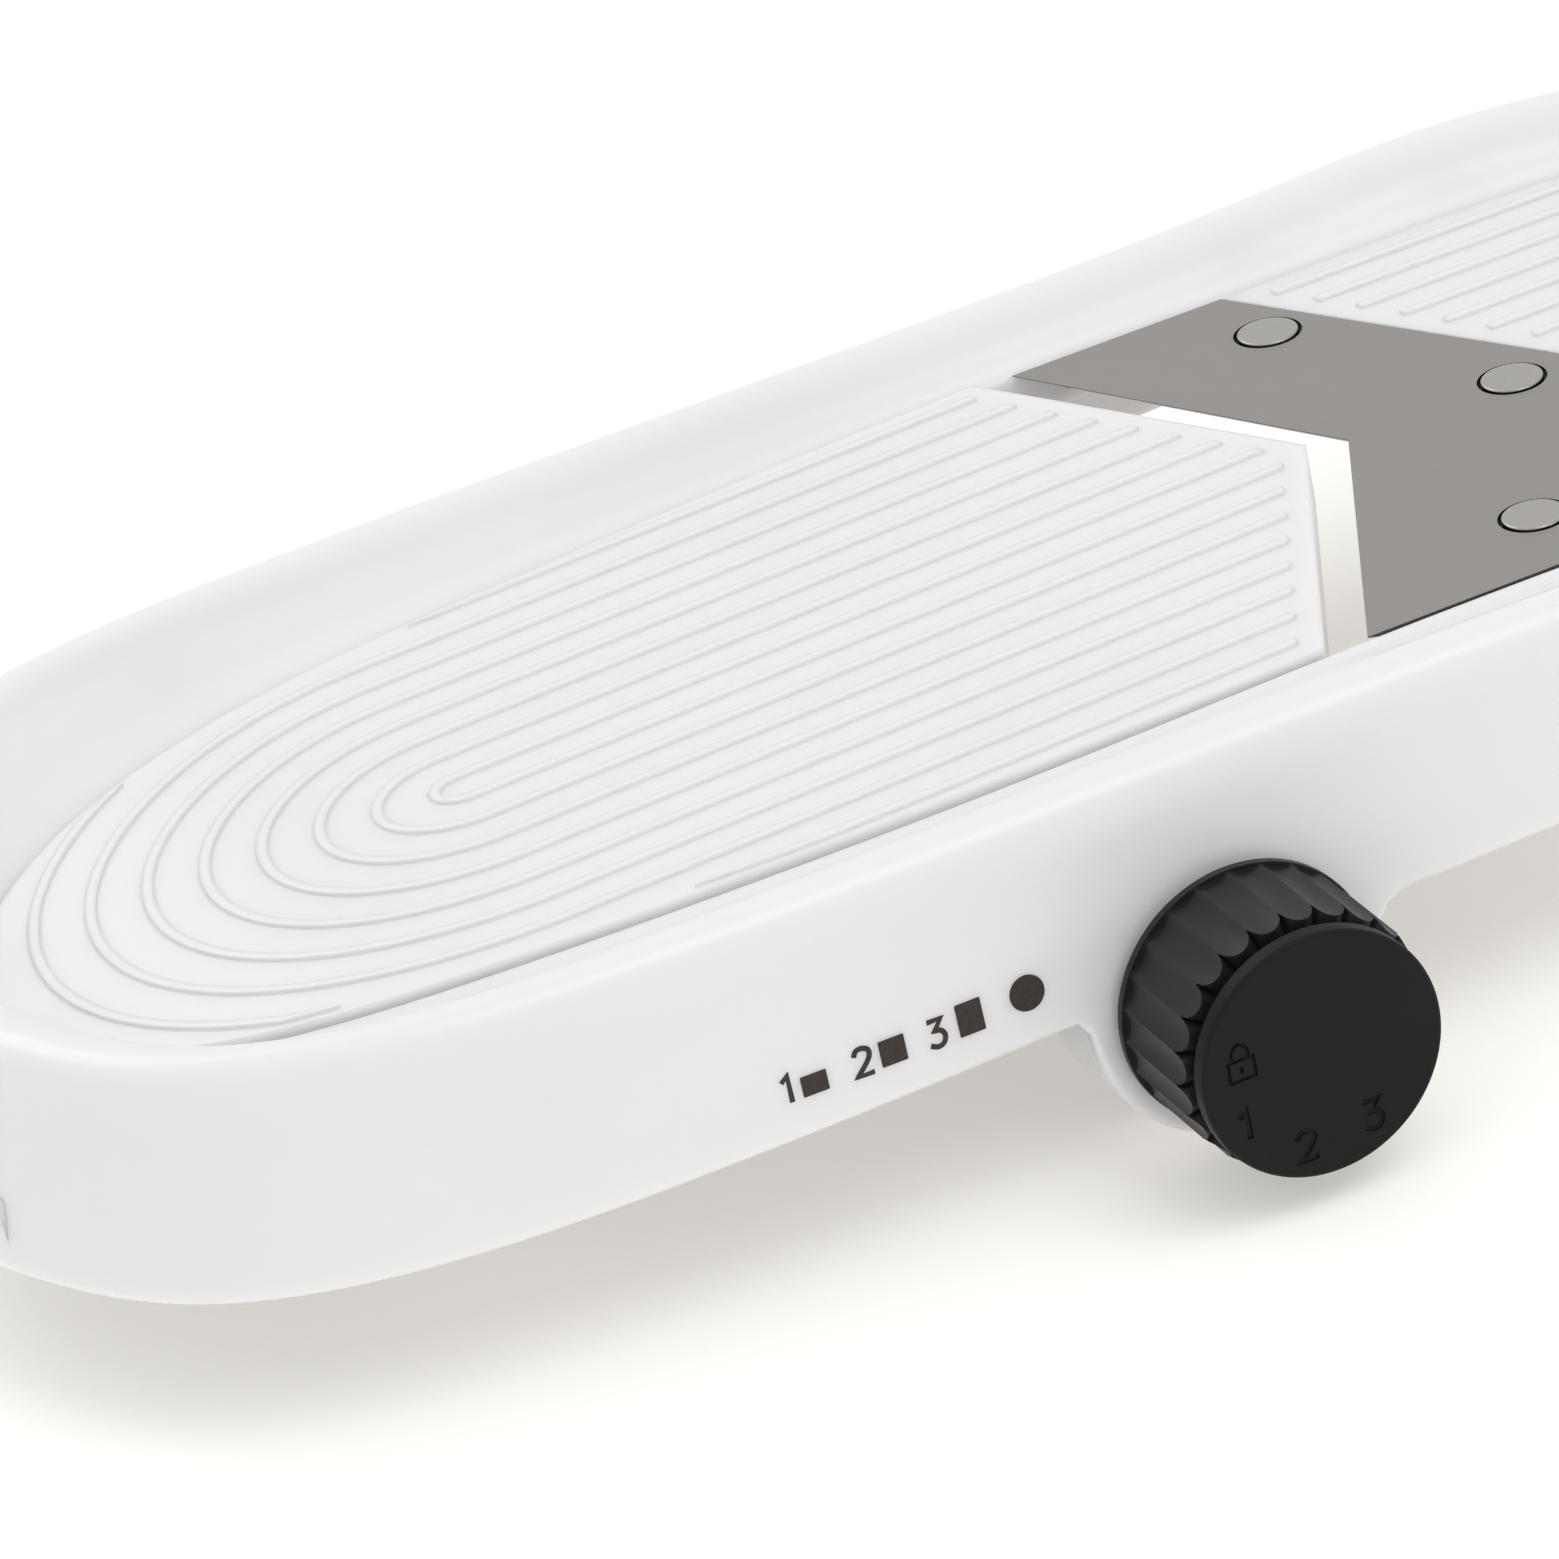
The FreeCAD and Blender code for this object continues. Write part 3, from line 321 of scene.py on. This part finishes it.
MATERIALS = {
    "white_plastic": plastic("white_plastic", (0.695, 0.693, 0.708), 0.996, 0.305, milky=0.75,
                             grain=0.0015, edge=0.0008, drift=0.02),
    "grey_plastic": plastic("grey_plastic", (0.45, 0.45, 0.46), 0.93, 0.45),
    "black_plastic": plastic("black_plastic", (0.013, 0.0115, 0.0105), 0.8, 0.45, grain=0.12,
                             grain_scale=3200.0, edge=0.00012, level=0.32),
    # The knob's face: a darker, less shiny copy of black_plastic, which is painted shade that makes
    # the face read darker than the flutes.
    "dial_black": plastic("dial_black", (0.0085, 0.0073, 0.0064), 0.85, 0.5, grain=0.08,
                          grain_scale=3200.0, edge=0.00012, level=0.14),
    "blade_steel": brushed("blade_steel", (0.322, 0.308, 0.295), 0.33, (260, 5200, 260), 0.25),
    "rivet_steel": brushed("rivet_steel", (0.42, 0.405, 0.385), 0.3, (1800, 1800, 300), 0.2,
                           edge=0.0002),
    "screw_steel": brushed("screw_steel", (0.45, 0.45, 0.45), 0.32, (900, 2600, 300), 0.2,
                           edge=0.0002),
    "pin_steel": brushed("pin_steel", (0.55, 0.55, 0.55), 0.2, (2600, 200, 2600), 0.15,
                         edge=0.0001),
    "soft_black": rubber("soft_black", (0.012, 0.0115, 0.011), 0.62),
    "foot_rubber": rubber("foot_rubber", (0.03, 0.029, 0.028), 0.72),
    "printed_ink": ink(),
}


# ---- splines ------------------------------------------------------------------------
def spacing(lines):
    """Shared parameters from 0 to 1 along rows of points, by their average chord lengths."""
    steps = np.linalg.norm(np.diff(lines, axis=1), axis=2).sum(axis=0)
    return np.concatenate([[0.0], np.cumsum(steps)]) / steps.sum()


def spline_eval(knots, values, bends, at):
    """A cubic spline from its knots, values and second derivatives."""
    k = np.clip(np.searchsorted(knots, at, side="right") - 1, 0, len(knots) - 2)
    h = (knots[k + 1] - knots[k])[:, None]
    a = (knots[k + 1] - at)[:, None] / h
    b = (at - knots[k])[:, None] / h
    return (a * values[k] + b * values[k + 1]
            + ((a ** 3 - a) * bends[k] + (b ** 3 - b) * bends[k + 1]) * h ** 2 / 6)


def closed_spline(knots, values, at):
    """Smooth closed curve. values has one row fewer than knots; a row may hold many numbers."""
    n = len(values)
    h = np.diff(knots)
    system = np.zeros((n, n))
    right = np.zeros_like(values)
    for i in range(n):
        before, after = h[i - 1], h[i]
        system[i, i - 1] += before / 6
        system[i, i] += (before + after) / 3
        system[i, (i + 1) % n] += after / 6
        right[i] = (values[(i + 1) % n] - values[i]) / after - (values[i] - values[i - 1]) / before
    bends = np.linalg.solve(system, right)
    return spline_eval(knots, np.vstack([values, values[:1]]), np.vstack([bends, bends[:1]]), at)


def open_spline(knots, values, at):
    """Smooth open curve whose end slopes follow the cubic through its outer four points."""
    n = len(values)
    h = np.diff(knots)
    system = np.zeros((n, n))
    right = np.zeros_like(values)
    for i in range(1, n - 1):
        system[i, i - 1:i + 2] = h[i - 1] / 6, (h[i - 1] + h[i]) / 3, h[i] / 6
        right[i] = (values[i + 1] - values[i]) / h[i] - (values[i] - values[i - 1]) / h[i - 1]
    start = np.polyfit(knots[:4] - knots[0], values[:4], 3)[2]
    end = np.polyfit(knots[-4:] - knots[-1], values[-4:], 3)[2]
    system[0, :2] = h[0] / 3, h[0] / 6
    right[0] = (values[1] - values[0]) / h[0] - start
    system[-1, -2:] = h[-1] / 6, h[-1] / 3
    right[-1] = end - (values[-1] - values[-2]) / h[-1]
    return spline_eval(knots, values, np.linalg.solve(system, right), at)


# ---- tray shell ---------------------------------------------------------------------
def runway_edge(x):
    """Height of the opening's edge beside the runway."""
    height = EDGE_SLOPE * x
    if x < NOSE_DIP_X:
        height -= (NOSE_DIP_X - x) ** 2 / NOSE_DIP
    return min(0.0, height)


def full_loop(half):
    """Tail to tail around the nose, without the repeated point."""
    return np.array([(x, -y) for x, y in reversed(half)] + half[1:-1])


def shell_sections():
    """The shell's upper and lower skin as points, one row per station.

    Profile points are (distance out from the opening's edge, height). Those of the rim and the wall
    are given by their distance in from the outline."""
    crest_up = [(8.6, 3.25), (5.7, CREST), (3.5, 3.2), (2.3, 1.0), (1.7, -4.0), (0.7, WALL_START)]
    crest_down = [(8.6, 1.1), (6.3, 1.7), (5.0, 1.0), (4.5, -1.2), (3.9, -5.0), (2.9, WALL_START)]
    upper, lower = [], []
    for inner, outer in zip(full_loop(OPENING), full_loop(OUTLINE)):
        width = np.linalg.norm(outer - inner)
        out = (outer - inner) / width
        edge = runway_edge(inner[0])
        hem = SKIRT_BOTTOM + SKIRT_RISE * outer[0]
        flank = width - COVE_RUN
        start = WALL + 0.9
        top = [(-LIP_IN, edge - FLANGE_DEPTH), (-LIP_IN, edge - 3.6), (-LIP_IN, edge - 1.4),
               (0.15 - LIP_IN, edge - 0.5), (0.7 - LIP_IN, edge)]
        top += [(0.7 + (flank - 0.7) * q, edge + (COVE_TOP - edge) * q ** 1.3)
                for q in (0.4, 0.7, 1.0)]
        top += [(width - run, height) for run, height in crest_up] + [(width, hem)]
        under = [(WALL, edge - FLANGE_DEPTH), (WALL, edge - 4.4), (WALL, edge - WALL - 1.2),
                 (WALL + 0.2, edge - WALL - 0.4), (start, edge - WALL)]
        under += [(start + (flank - start) * q, edge - WALL + (COVE_TOP - edge) * q ** 1.3)
                  for q in (0.4, 0.7, 1.0)]
        under += [(width - run, height) for run, height in crest_down] + [(width - WALL, hem)]
        for rows, profile in ((upper, top), (lower, under)):
            rows.append([(inner[0] + out[0] * s, inner[1] + out[1] * s, z) for s, z in profile])
    return np.array(upper), np.array(lower)


def ear_path(share):
    """The hem's way round the shaft pad, for shares 0 to 1: fillet, circle, fillet."""
    fillet = PAD_FILLET * math.pi / 2
    total = 2 * fillet + PAD_R * math.pi
    run = share * total
    x, z = np.zeros_like(run), np.zeros_like(run)
    for side in (-1, 1):
        along = run if side < 0 else total - run
        bend = np.clip(along / PAD_FILLET, 0, math.pi / 2)
        near = along < fillet
        x = np.where(near, SHAFT_X + side * (PAD_R + PAD_FILLET - PAD_FILLET * np.sin(bend)), x)
        z = np.where(near, SHAFT_Z + PAD_FILLET * np.cos(bend), z)
    turn = (run - fillet) / PAD_R
    ring = (run >= fillet) & (total - run >= fillet)
    x = np.where(ring, SHAFT_X - PAD_R * np.cos(turn), x)
    z = np.where(ring, SHAFT_Z - PAD_R * np.sin(turn), z)
    return x, z


def add_ears(skin, wall_rows):
    """Draws the plain wall rows of both long sides down around the shaft pads."""
    wall = skin[:, wall_rows:, :].copy()
    hem = wall[:, -1, :]
    reach = PAD_R + PAD_FILLET
    share = (hem[:, 0] - (SHAFT_X - reach)) / (2 * reach)
    inside = (share > 0) & (share < 1)
    pad_x, pad_z = ear_path(np.clip(share, 0, 1))
    pull = np.linspace(0, 1, wall.shape[1])[None, :] ** 1.5     # the hem moves all the way
    x = wall[:, :, 0] + (pad_x - hem[:, 0])[:, None] * pull
    z = wall[:, :, 2] + (pad_z - hem[:, 2])[:, None] * pull
    top_y, hem_y = np.abs(wall[:, 0, 1])[:, None], np.abs(hem[:, 1])[:, None]
    depth = (wall[:, 0, 2][:, None] - z) / (wall[:, 0, 2] - hem[:, 2])[:, None]
    below = np.clip(hem[:, 2][:, None] - z, 0, None)
    swell = PAD_SWELL * (1 - np.exp(-below / SWELL_DEPTH))
    y = top_y + (hem_y - top_y) * np.clip(depth, 0, 1) + swell
    moved = np.stack([x, y * np.sign(hem[:, 1])[:, None], z], axis=2)
    skin[:, wall_rows:, :] = np.where(inside[:, None, None], moved, wall)
    return skin


def rounded_edge(end, before, other, radius, steps=4):
    """Rows that round a skin's last row over towards the other skin."""
    along = before - end
    along /= np.linalg.norm(along, axis=1)[:, None]
    across = other - end
    across /= np.linalg.norm(across, axis=1)[:, None]
    rows = []
    for i in range(steps + 1):
        a = math.pi / 2 * i / steps
        rows.append(end + radius * ((1 - math.sin(a)) * along + (1 - math.cos(a)) * across))
    return rows


def tray_grid():
    """The shell as one grid: rows run from the lip over the rim to the hem and back inside."""
    upper, lower = shell_sections()
    around = spacing(np.array([np.vstack([loop, loop[:1]])
                               for loop in (full_loop(OPENING), full_loop(OUTLINE))]))
    at_around = np.arange(AROUND) / AROUND
    skins = []
    for rows, fine in ((upper, TOP_STEPS), (lower, UNDER_STEPS)):
        across = spacing(rows)
        steps = [fine] * (len(across) - 2) + [WALL_STEPS]
        at = np.concatenate([np.linspace(across[i], across[i + 1], steps[i], endpoint=False)
                             for i in range(len(steps))] + [[1.0]])
        flat = np.array([open_spline(across, row, at) for row in rows]).reshape(len(rows), -1)
        skin = closed_spline(around, flat, at_around).reshape(AROUND, len(at), 3)
        skins.append(add_ears(skin, len(at) - 1 - WALL_STEPS))
    top, under = skins
    hang = np.clip((SKIRT_BOTTOM - top[:, -1, 2]) / PAD_EDGE_DEPTH, 0, 1)[:, None]
    hem_r = EDGE_R + (PAD_EDGE_R - EDGE_R) * hang
    hem_out = rounded_edge(top[:, -1], top[:, -2], under[:, -1], hem_r)
    hem_in = rounded_edge(under[:, -1], under[:, -2], top[:, -1], EDGE_R)
    lip_out = rounded_edge(top[:, 0], top[:, 1], under[:, 0], EDGE_R)
    lip_in = rounded_edge(under[:, 0], under[:, 1], top[:, 0], EDGE_R)
    outer = [top[:, j] for j in range(1, top.shape[1] - 1)]
    inner = [under[:, j] for j in range(1, under.shape[1] - 1)]
    return outer + hem_out + hem_in[::-1] + inner[::-1] + lip_in + lip_out[::-1]


# ---- mesh building --------------------------------------------------------------------
def corners(bm, rows):
    """New corners of the mesh for each row of drawing points."""
    return [[bm.verts.new(Vector(p)) for p in metres(row)] for row in rows]


def bridge(bm, low, high):
    """Quads between two loops with as many corners."""
    for i in range(len(low)):
        k = (i + 1) % len(low)
        bm.faces.new((low[i], low[k], high[k], high[i]))


def grid_mesh(bm, rows):
    """Quads through rows of points and from the last row back to the first. Rows are loops."""
    made = corners(bm, rows)
    for low, high in zip(made, made[1:] + made[:1]):
        bridge(bm, low, high)


def capped_mesh(bm, rows):
    """Quads through rows of points, with a flat cap on the first and the last. Rows are loops."""
    made = corners(bm, rows)
    for low, high in zip(made, made[1:]):
        bridge(bm, low, high)
    bm.faces.new(made[0])
    bm.faces.new(made[-1])


def ring_points(profile, count, place):
    """A ring of points for each (radius, height) in profile; place puts them round their axis."""
    turns = [2 * math.pi * i / count for i in range(count)]
    return [np.array([place(r * math.cos(a), r * math.sin(a), h) for a in turns])
            for r, h in profile]


def tube(bm, inner, outer, low, high, place, edge=0.3, count=TURN):
    """A short tube with small rounded edges."""
    profile = [(inner, low + edge), (inner + edge, low), (outer - edge, low),
               (outer, low + edge), (outer, high - edge), (outer - edge, high),
               (inner + edge, high), (inner, high - edge)]
    grid_mesh(bm, ring_points(profile, count, place))


def soft_block(bm, low, high, edge):
    """A block between two corners, with rounded edges."""
    made = bmesh.ops.create_cube(bm, size=1.0)["verts"]
    low, high = Vector(metres([low])[0]), Vector(metres([high])[0])
    for v in made:
        v.co = Vector([(low[i] + high[i]) / 2 + v.co[i] * (high[i] - low[i]) for i in range(3)])
    edges = list({e for v in made for e in v.link_edges})
    bmesh.ops.bevel(bm, geom=edges, offset=edge / 1000, segments=3, profile=0.5, affect="EDGES")


def link(name, bm, finish, body, replaced=(), sharp=35.0):
    """Makes the object, with its finish, body and the CAD nodes it stands for."""
    bmesh.ops.recalc_face_normals(bm, faces=bm.faces)
    mesh = bpy.data.meshes.new(name)
    bm.to_mesh(mesh)
    bm.free()
    obj = bpy.data.objects.new(name, mesh)
    bpy.context.scene.collection.objects.link(obj)
    finish_mesh(obj, finish, sharp)
    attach(obj, body)
    if replaced:
        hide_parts(*replaced)
    return obj


def finish_mesh(obj, finish, sharp):
    """Gives the finish, and smooth shading that breaks at edges sharper than sharp degrees."""
    obj.data.materials.clear()
    obj.data.materials.append(MATERIALS[finish])
    for face in obj.data.polygons:
        face.use_smooth = True
    obj.data.set_sharp_from_angle(angle=math.radians(sharp))


def cut_with(obj, bm, name, finish, sharp):
    """Cuts the closed shapes in bm out of obj."""
    bmesh.ops.recalc_face_normals(bm, faces=bm.faces)
    mesh = bpy.data.meshes.new(name)
    bm.to_mesh(mesh)
    bm.free()
    tool = bpy.data.objects.new(name, mesh)
    bpy.context.scene.collection.objects.link(tool)
    change = obj.modifiers.new(name, "BOOLEAN")
    change.operation = "DIFFERENCE"
    change.solver = "EXACT"
    change.use_self = True
    change.object = tool
    depsgraph = bpy.context.evaluated_depsgraph_get()
    result = bpy.data.meshes.new_from_object(obj.evaluated_get(depsgraph), depsgraph=depsgraph)
    obj.modifiers.clear()
    obj.data = result
    bpy.data.objects.remove(tool)
    finish_mesh(obj, finish, sharp)


# ---- tray ---------------------------------------------------------------------------
def tray():
    """The white tray: its shell with the bores for the bushes, and the mounts inside it."""
    bm = bmesh.new()
    grid_mesh(bm, tray_grid())
    shell = link("tray_shell", bm, "white_plastic", "base", ("body_shell",), sharp=TRAY_SHARP)
    cutter, inside = bmesh.new(), bmesh.new()
    for side in (-1, 1):
        def on_shaft(a, b, h):
            return SHAFT_X + a, side * h, SHAFT_Z + b
        capped_mesh(cutter, ring_points([(BUSH_R, y) for y in BUSH_BORE], TURN, on_shaft))
        tube(inside, PAD_R - WALL, PAD_R - COLLAR_INSET, PAD_INNER, PAD_OUTER, on_shaft)
        for x, y, low, top in BOSSES:
            tube(inside, BOSS_HOLE_R, BOSS_R, low, top,
                 lambda a, b, h: (x + a, side * y + b, h), count=TURN // 2)
        near, far = sorted(side * y for y in BRACKET_Y)
        soft_block(inside, (BRACKET_FRONT, near, HINGE_Z - BRACKET_DOWN),
                   (HINGE_X + BRACKET_BEHIND, far, HINGE_Z + BRACKET_UP), BRACKET_EDGE)
    cut_with(shell, cutter, "shaft_bore", "white_plastic", TRAY_SHARP)
    link("tray_mounts", inside, "white_plastic", "base", ("body_shell",))
    return shell


# ---- figures ------------------------------------------------------------------------
def curve_through(points, steps=6):
    """A smooth line through points (Catmull-Rom)."""
    pts = [points[0]] + list(points) + [points[-1]]
    line = []
    for i in range(1, len(pts) - 2):
        p0, p1, p2, p3 = (np.array(p, float) for p in pts[i - 1:i + 3])
        for j in range(steps):
            t = j / steps
            line.append(tuple(0.5 * (2 * p1 + (p2 - p0) * t
                                     + (2 * p0 - 5 * p1 + 4 * p2 - p3) * t ** 2
                                     + (3 * p1 - p0 - 3 * p2 + p3) * t ** 3)))
    return line + [tuple(points[-1])]


# Each figure's strokes as (x, z) points; a figure is 1 high and about 0.66 wide.
FIGURES = {
    "1": [[(0.0, 0.80), (0.26, 1.0), (0.26, 0.0)]],
    "2": [curve_through([(0.02, 0.76), (0.12, 0.95), (0.34, 1.0), (0.56, 0.90), (0.60, 0.70),
                         (0.46, 0.45), (0.02, 0.0)]) + [(0.66, 0.0)]],
    "3": [[(0.04, 1.0), (0.57, 1.0), (0.27, 0.62)]
          + curve_through([(0.27, 0.62), (0.50, 0.56), (0.62, 0.34), (0.53, 0.09), (0.30, 0.0),
                           (0.02, 0.12)])[1:]],
    "lock": [[(0.0, 0.0), (0.72, 0.0), (0.72, 0.56), (0.0, 0.56), (0.0, 0.0)],
             curve_through([(0.14, 0.56), (0.14, 0.82), (0.36, 1.02), (0.58, 0.82), (0.58, 0.56)]),
             [(0.36, 0.36), (0.36, 0.18)]],
}
SQUARENESS = 0.6                        # below 1 makes a stroke's section squarer than an ellipse
MOST_MITRE = 0.55                       # limits how much a stroke widens at a sharp corner


def squarish(c):
    """c = sin or cos of a turn, pushed outwards."""
    return math.copysign(abs(c) ** SQUARENESS, c)


def stroke_mesh(bm, line, width, depth, place, count=10):
    """A stroke along a line of (x, z) points: width across, depth to each side of the surface."""
    line = [np.array(p, float) for p in line]
    rows = []
    for i, point in enumerate(line):
        ahead = line[min(i + 1, len(line) - 1)] - line[min(i, len(line) - 2)]
        behind = line[max(i, 1)] - line[max(i - 1, 0)]
        ahead /= max(np.linalg.norm(ahead), 1e-9)
        behind /= max(np.linalg.norm(behind), 1e-9)
        across = np.array([-(ahead[1] + behind[1]), ahead[0] + behind[0]])
        across /= max(np.linalg.norm(across), 1e-9)
        lean = max(MOST_MITRE, float(np.dot(across, (-ahead[1], ahead[0]))))
        row = []
        for k in range(count):
            a = 2 * math.pi * (k + 0.5) / count
            side = width / 2 / lean * squarish(math.cos(a))
            row.append(place(*(point + across * side), depth * squarish(math.sin(a))))
        rows.append(row)
    capped_mesh(bm, rows)


CLEAR_Y = -80.0                         # well outside the near wall


def wall_finder(shell):
    """A function that gives the wall's y at a drawing x and z, on the near side."""
    tree = BVHTree.FromPolygons([v.co for v in shell.data.vertices],
                                [p.vertices for p in shell.data.polygons])

    def find(x, z):
        start = Vector(metres([(x, CLEAR_Y, z)])[0])
        hit = tree.ray_cast(start, Vector((0, 1, 0)))[0]
        return hit.y * 1000.0
    return find


def patch(bm, outline, wall_y, proud=0.03, sunk=0.12):
    """A printed patch that follows the wall, from its outline in x and z."""
    centre = np.mean(outline, axis=0)
    front, back = [], []
    for x, z in outline:
        y = wall_y(x, z)
        front.append((x, y - proud, z))
        back.append((x, y + sunk, z))
    hub = (centre[0], wall_y(*centre) - proud, centre[1])
    tail = (centre[0], wall_y(*centre) + sunk, centre[1])
    front, back, (hub, tail) = corners(bm, [front, back, [hub, tail]])
    for i in range(len(front)):
        k = (i + 1) % len(front)
        bm.faces.new((front[i], front[k], hub))
        bm.faces.new((back[k], back[i], tail))
        bm.faces.new((front[k], front[i], back[i], back[k]))


def soft_rectangle(x0, x1, z0, z1, r=0.12):
    """The outline of a rectangle with round corners."""
    points = []
    for cx, cz, start in ((x1 - r, z1 - r, 0), (x0 + r, z1 - r, 90),
                          (x0 + r, z0 + r, 180), (x1 - r, z0 + r, 270)):
        for step in (0, 30, 60, 90):
            a = math.radians(start + step)
            points.append((cx + r * math.cos(a), cz + r * math.sin(a)))
    return points


# Printed marks on the near wall, between the nose and the knob.
MARK_BASE = -17.3                       # height of their lower edge
MARKS = [                               # figure, its x, its bar's x and height
    ("1", -82.0, -79.9, 2.35), ("2", -73.7, -70.75, 3.0), ("3", -65.1, -61.6, 3.75)]
BAR_WIDTH, FIGURE_HEIGHT, FIGURE_STROKE = 3.0, 3.05, 0.62
INK_RISE = 0.035                        # the figures' ink stands this far proud
DOT_X, DOT_Z, DOT_R = -53.3, -15.2, 2.04


def printed_marks(shell):
    """The three settings with bars that grow, and the dot that the knob is read against."""
    wall_y = wall_finder(shell)
    for figure, text_x, bar_x, height in MARKS:
        bm = bmesh.new()
        bar = soft_rectangle(bar_x, bar_x + BAR_WIDTH, MARK_BASE, MARK_BASE + height)
        patch(bm, bar, wall_y)
        link("mark_bar_" + figure, bm, "printed_ink", "base")
        bm = bmesh.new()
        for line in FIGURES[figure]:
            placed = [(text_x + px * FIGURE_HEIGHT, MARK_BASE + pz * FIGURE_HEIGHT)
                      for px, pz in line]
            stroke_mesh(bm, placed, FIGURE_STROKE, INK_RISE,
                        lambda x, z, rise: (x, wall_y(x, z) - rise, z))
        link("mark_figure_" + figure, bm, "printed_ink", "base")
    bm = bmesh.new()
    turns = [math.radians(a) for a in range(0, 360, 6)]
    patch(bm, [(DOT_X + DOT_R * math.cos(a), DOT_Z + DOT_R * math.sin(a)) for a in turns], wall_y)
    link("mark_index_dot", bm, "printed_ink", "base")


# Figures on the knob's face: name, middle from the shaft along X and Z, height and stroke.
FACE_FIGURES = [("lock", -9.5, 2.9, 4.2, 0.42), ("1", -9.5, -4.6, 3.4, 0.72),
                ("2", -3.6, -9.6, 3.4, 0.72), ("3", 4.4, -9.0, 3.4, 0.72)]
FIGURE_MIDDLE = (0.33, 0.5)             # of a figure 1 high
PRESS_DEPTH = 0.34
FACE_EDGE = 0.5                         # radius of the disc's front edge
BACK_IN, BACK_BEVEL = 1.0, 0.15         # the disc's back edge: in from the rim, and its depth
FACE_SHARP = 35.0


def dial_face():
    """The knob's front disc, with the lock sign and the three settings pressed into it."""
    bm = bmesh.new()
    turns = [math.radians(a) for a in range(0, 91, 15)]
    profile = [(CAP_R - BACK_IN, CAP_BACK), (CAP_R, CAP_BACK - BACK_BEVEL)]
    profile += [(CAP_R - FACE_EDGE + FACE_EDGE * math.cos(a),
                 KNOB_FRONT + FACE_EDGE - FACE_EDGE * math.sin(a)) for a in turns]
    capped_mesh(bm, ring_points(profile, 2 * TURN, lambda a, b, h: (SHAFT_X + a, h, SHAFT_Z + b)))
    face = link("dial_face", bm, "dial_black", "setting_knob", ("knob_cap",), sharp=FACE_SHARP)
    for figure, along, up, size, width in FACE_FIGURES:
        for i, line in enumerate(FIGURES[figure]):
            cutter = bmesh.new()
            placed = [(SHAFT_X + along + (px - FIGURE_MIDDLE[0]) * size,
                       SHAFT_Z + up + (pz - FIGURE_MIDDLE[1]) * size) for px, pz in line]
            stroke_mesh(cutter, placed, width, PRESS_DEPTH,
                        lambda x, z, rise: (x, KNOB_FRONT - rise, z), count=12)
            cut_with(face, cutter, "pressed_%s_%d" % (figure, i), "dial_black", FACE_SHARP)


# ---- CAD nodes and floor ------------------------------------------------------------
FLOOR_HALF = 6.0


def dress_cad():
    """Gives every CAD node the finish of its material slot."""
    for part in frame["record"]["subparts"]:
        obj = frame["nodes"][part["node"]]
        for place in obj.material_slots:
            place.material = MATERIALS[part["material_slot"]]


def floor():
    """A square floor, FLOOR_HALF metres to each side of the origin."""
    mesh = bpy.data.meshes.new("studio_floor")
    square = [(x * FLOOR_HALF, y * FLOOR_HALF, 0) for x, y in ((-1, -1), (1, -1), (1, 1), (-1, 1))]
    mesh.from_pydata(square, [], [(0, 1, 2, 3)])
    obj = bpy.data.objects.new("studio_floor", mesh)
    bpy.context.scene.collection.objects.link(obj)
    mesh.materials.append(floor_material())


camera()
lights()
floor()
dress_cad()
printed_marks(tray())
dial_face()
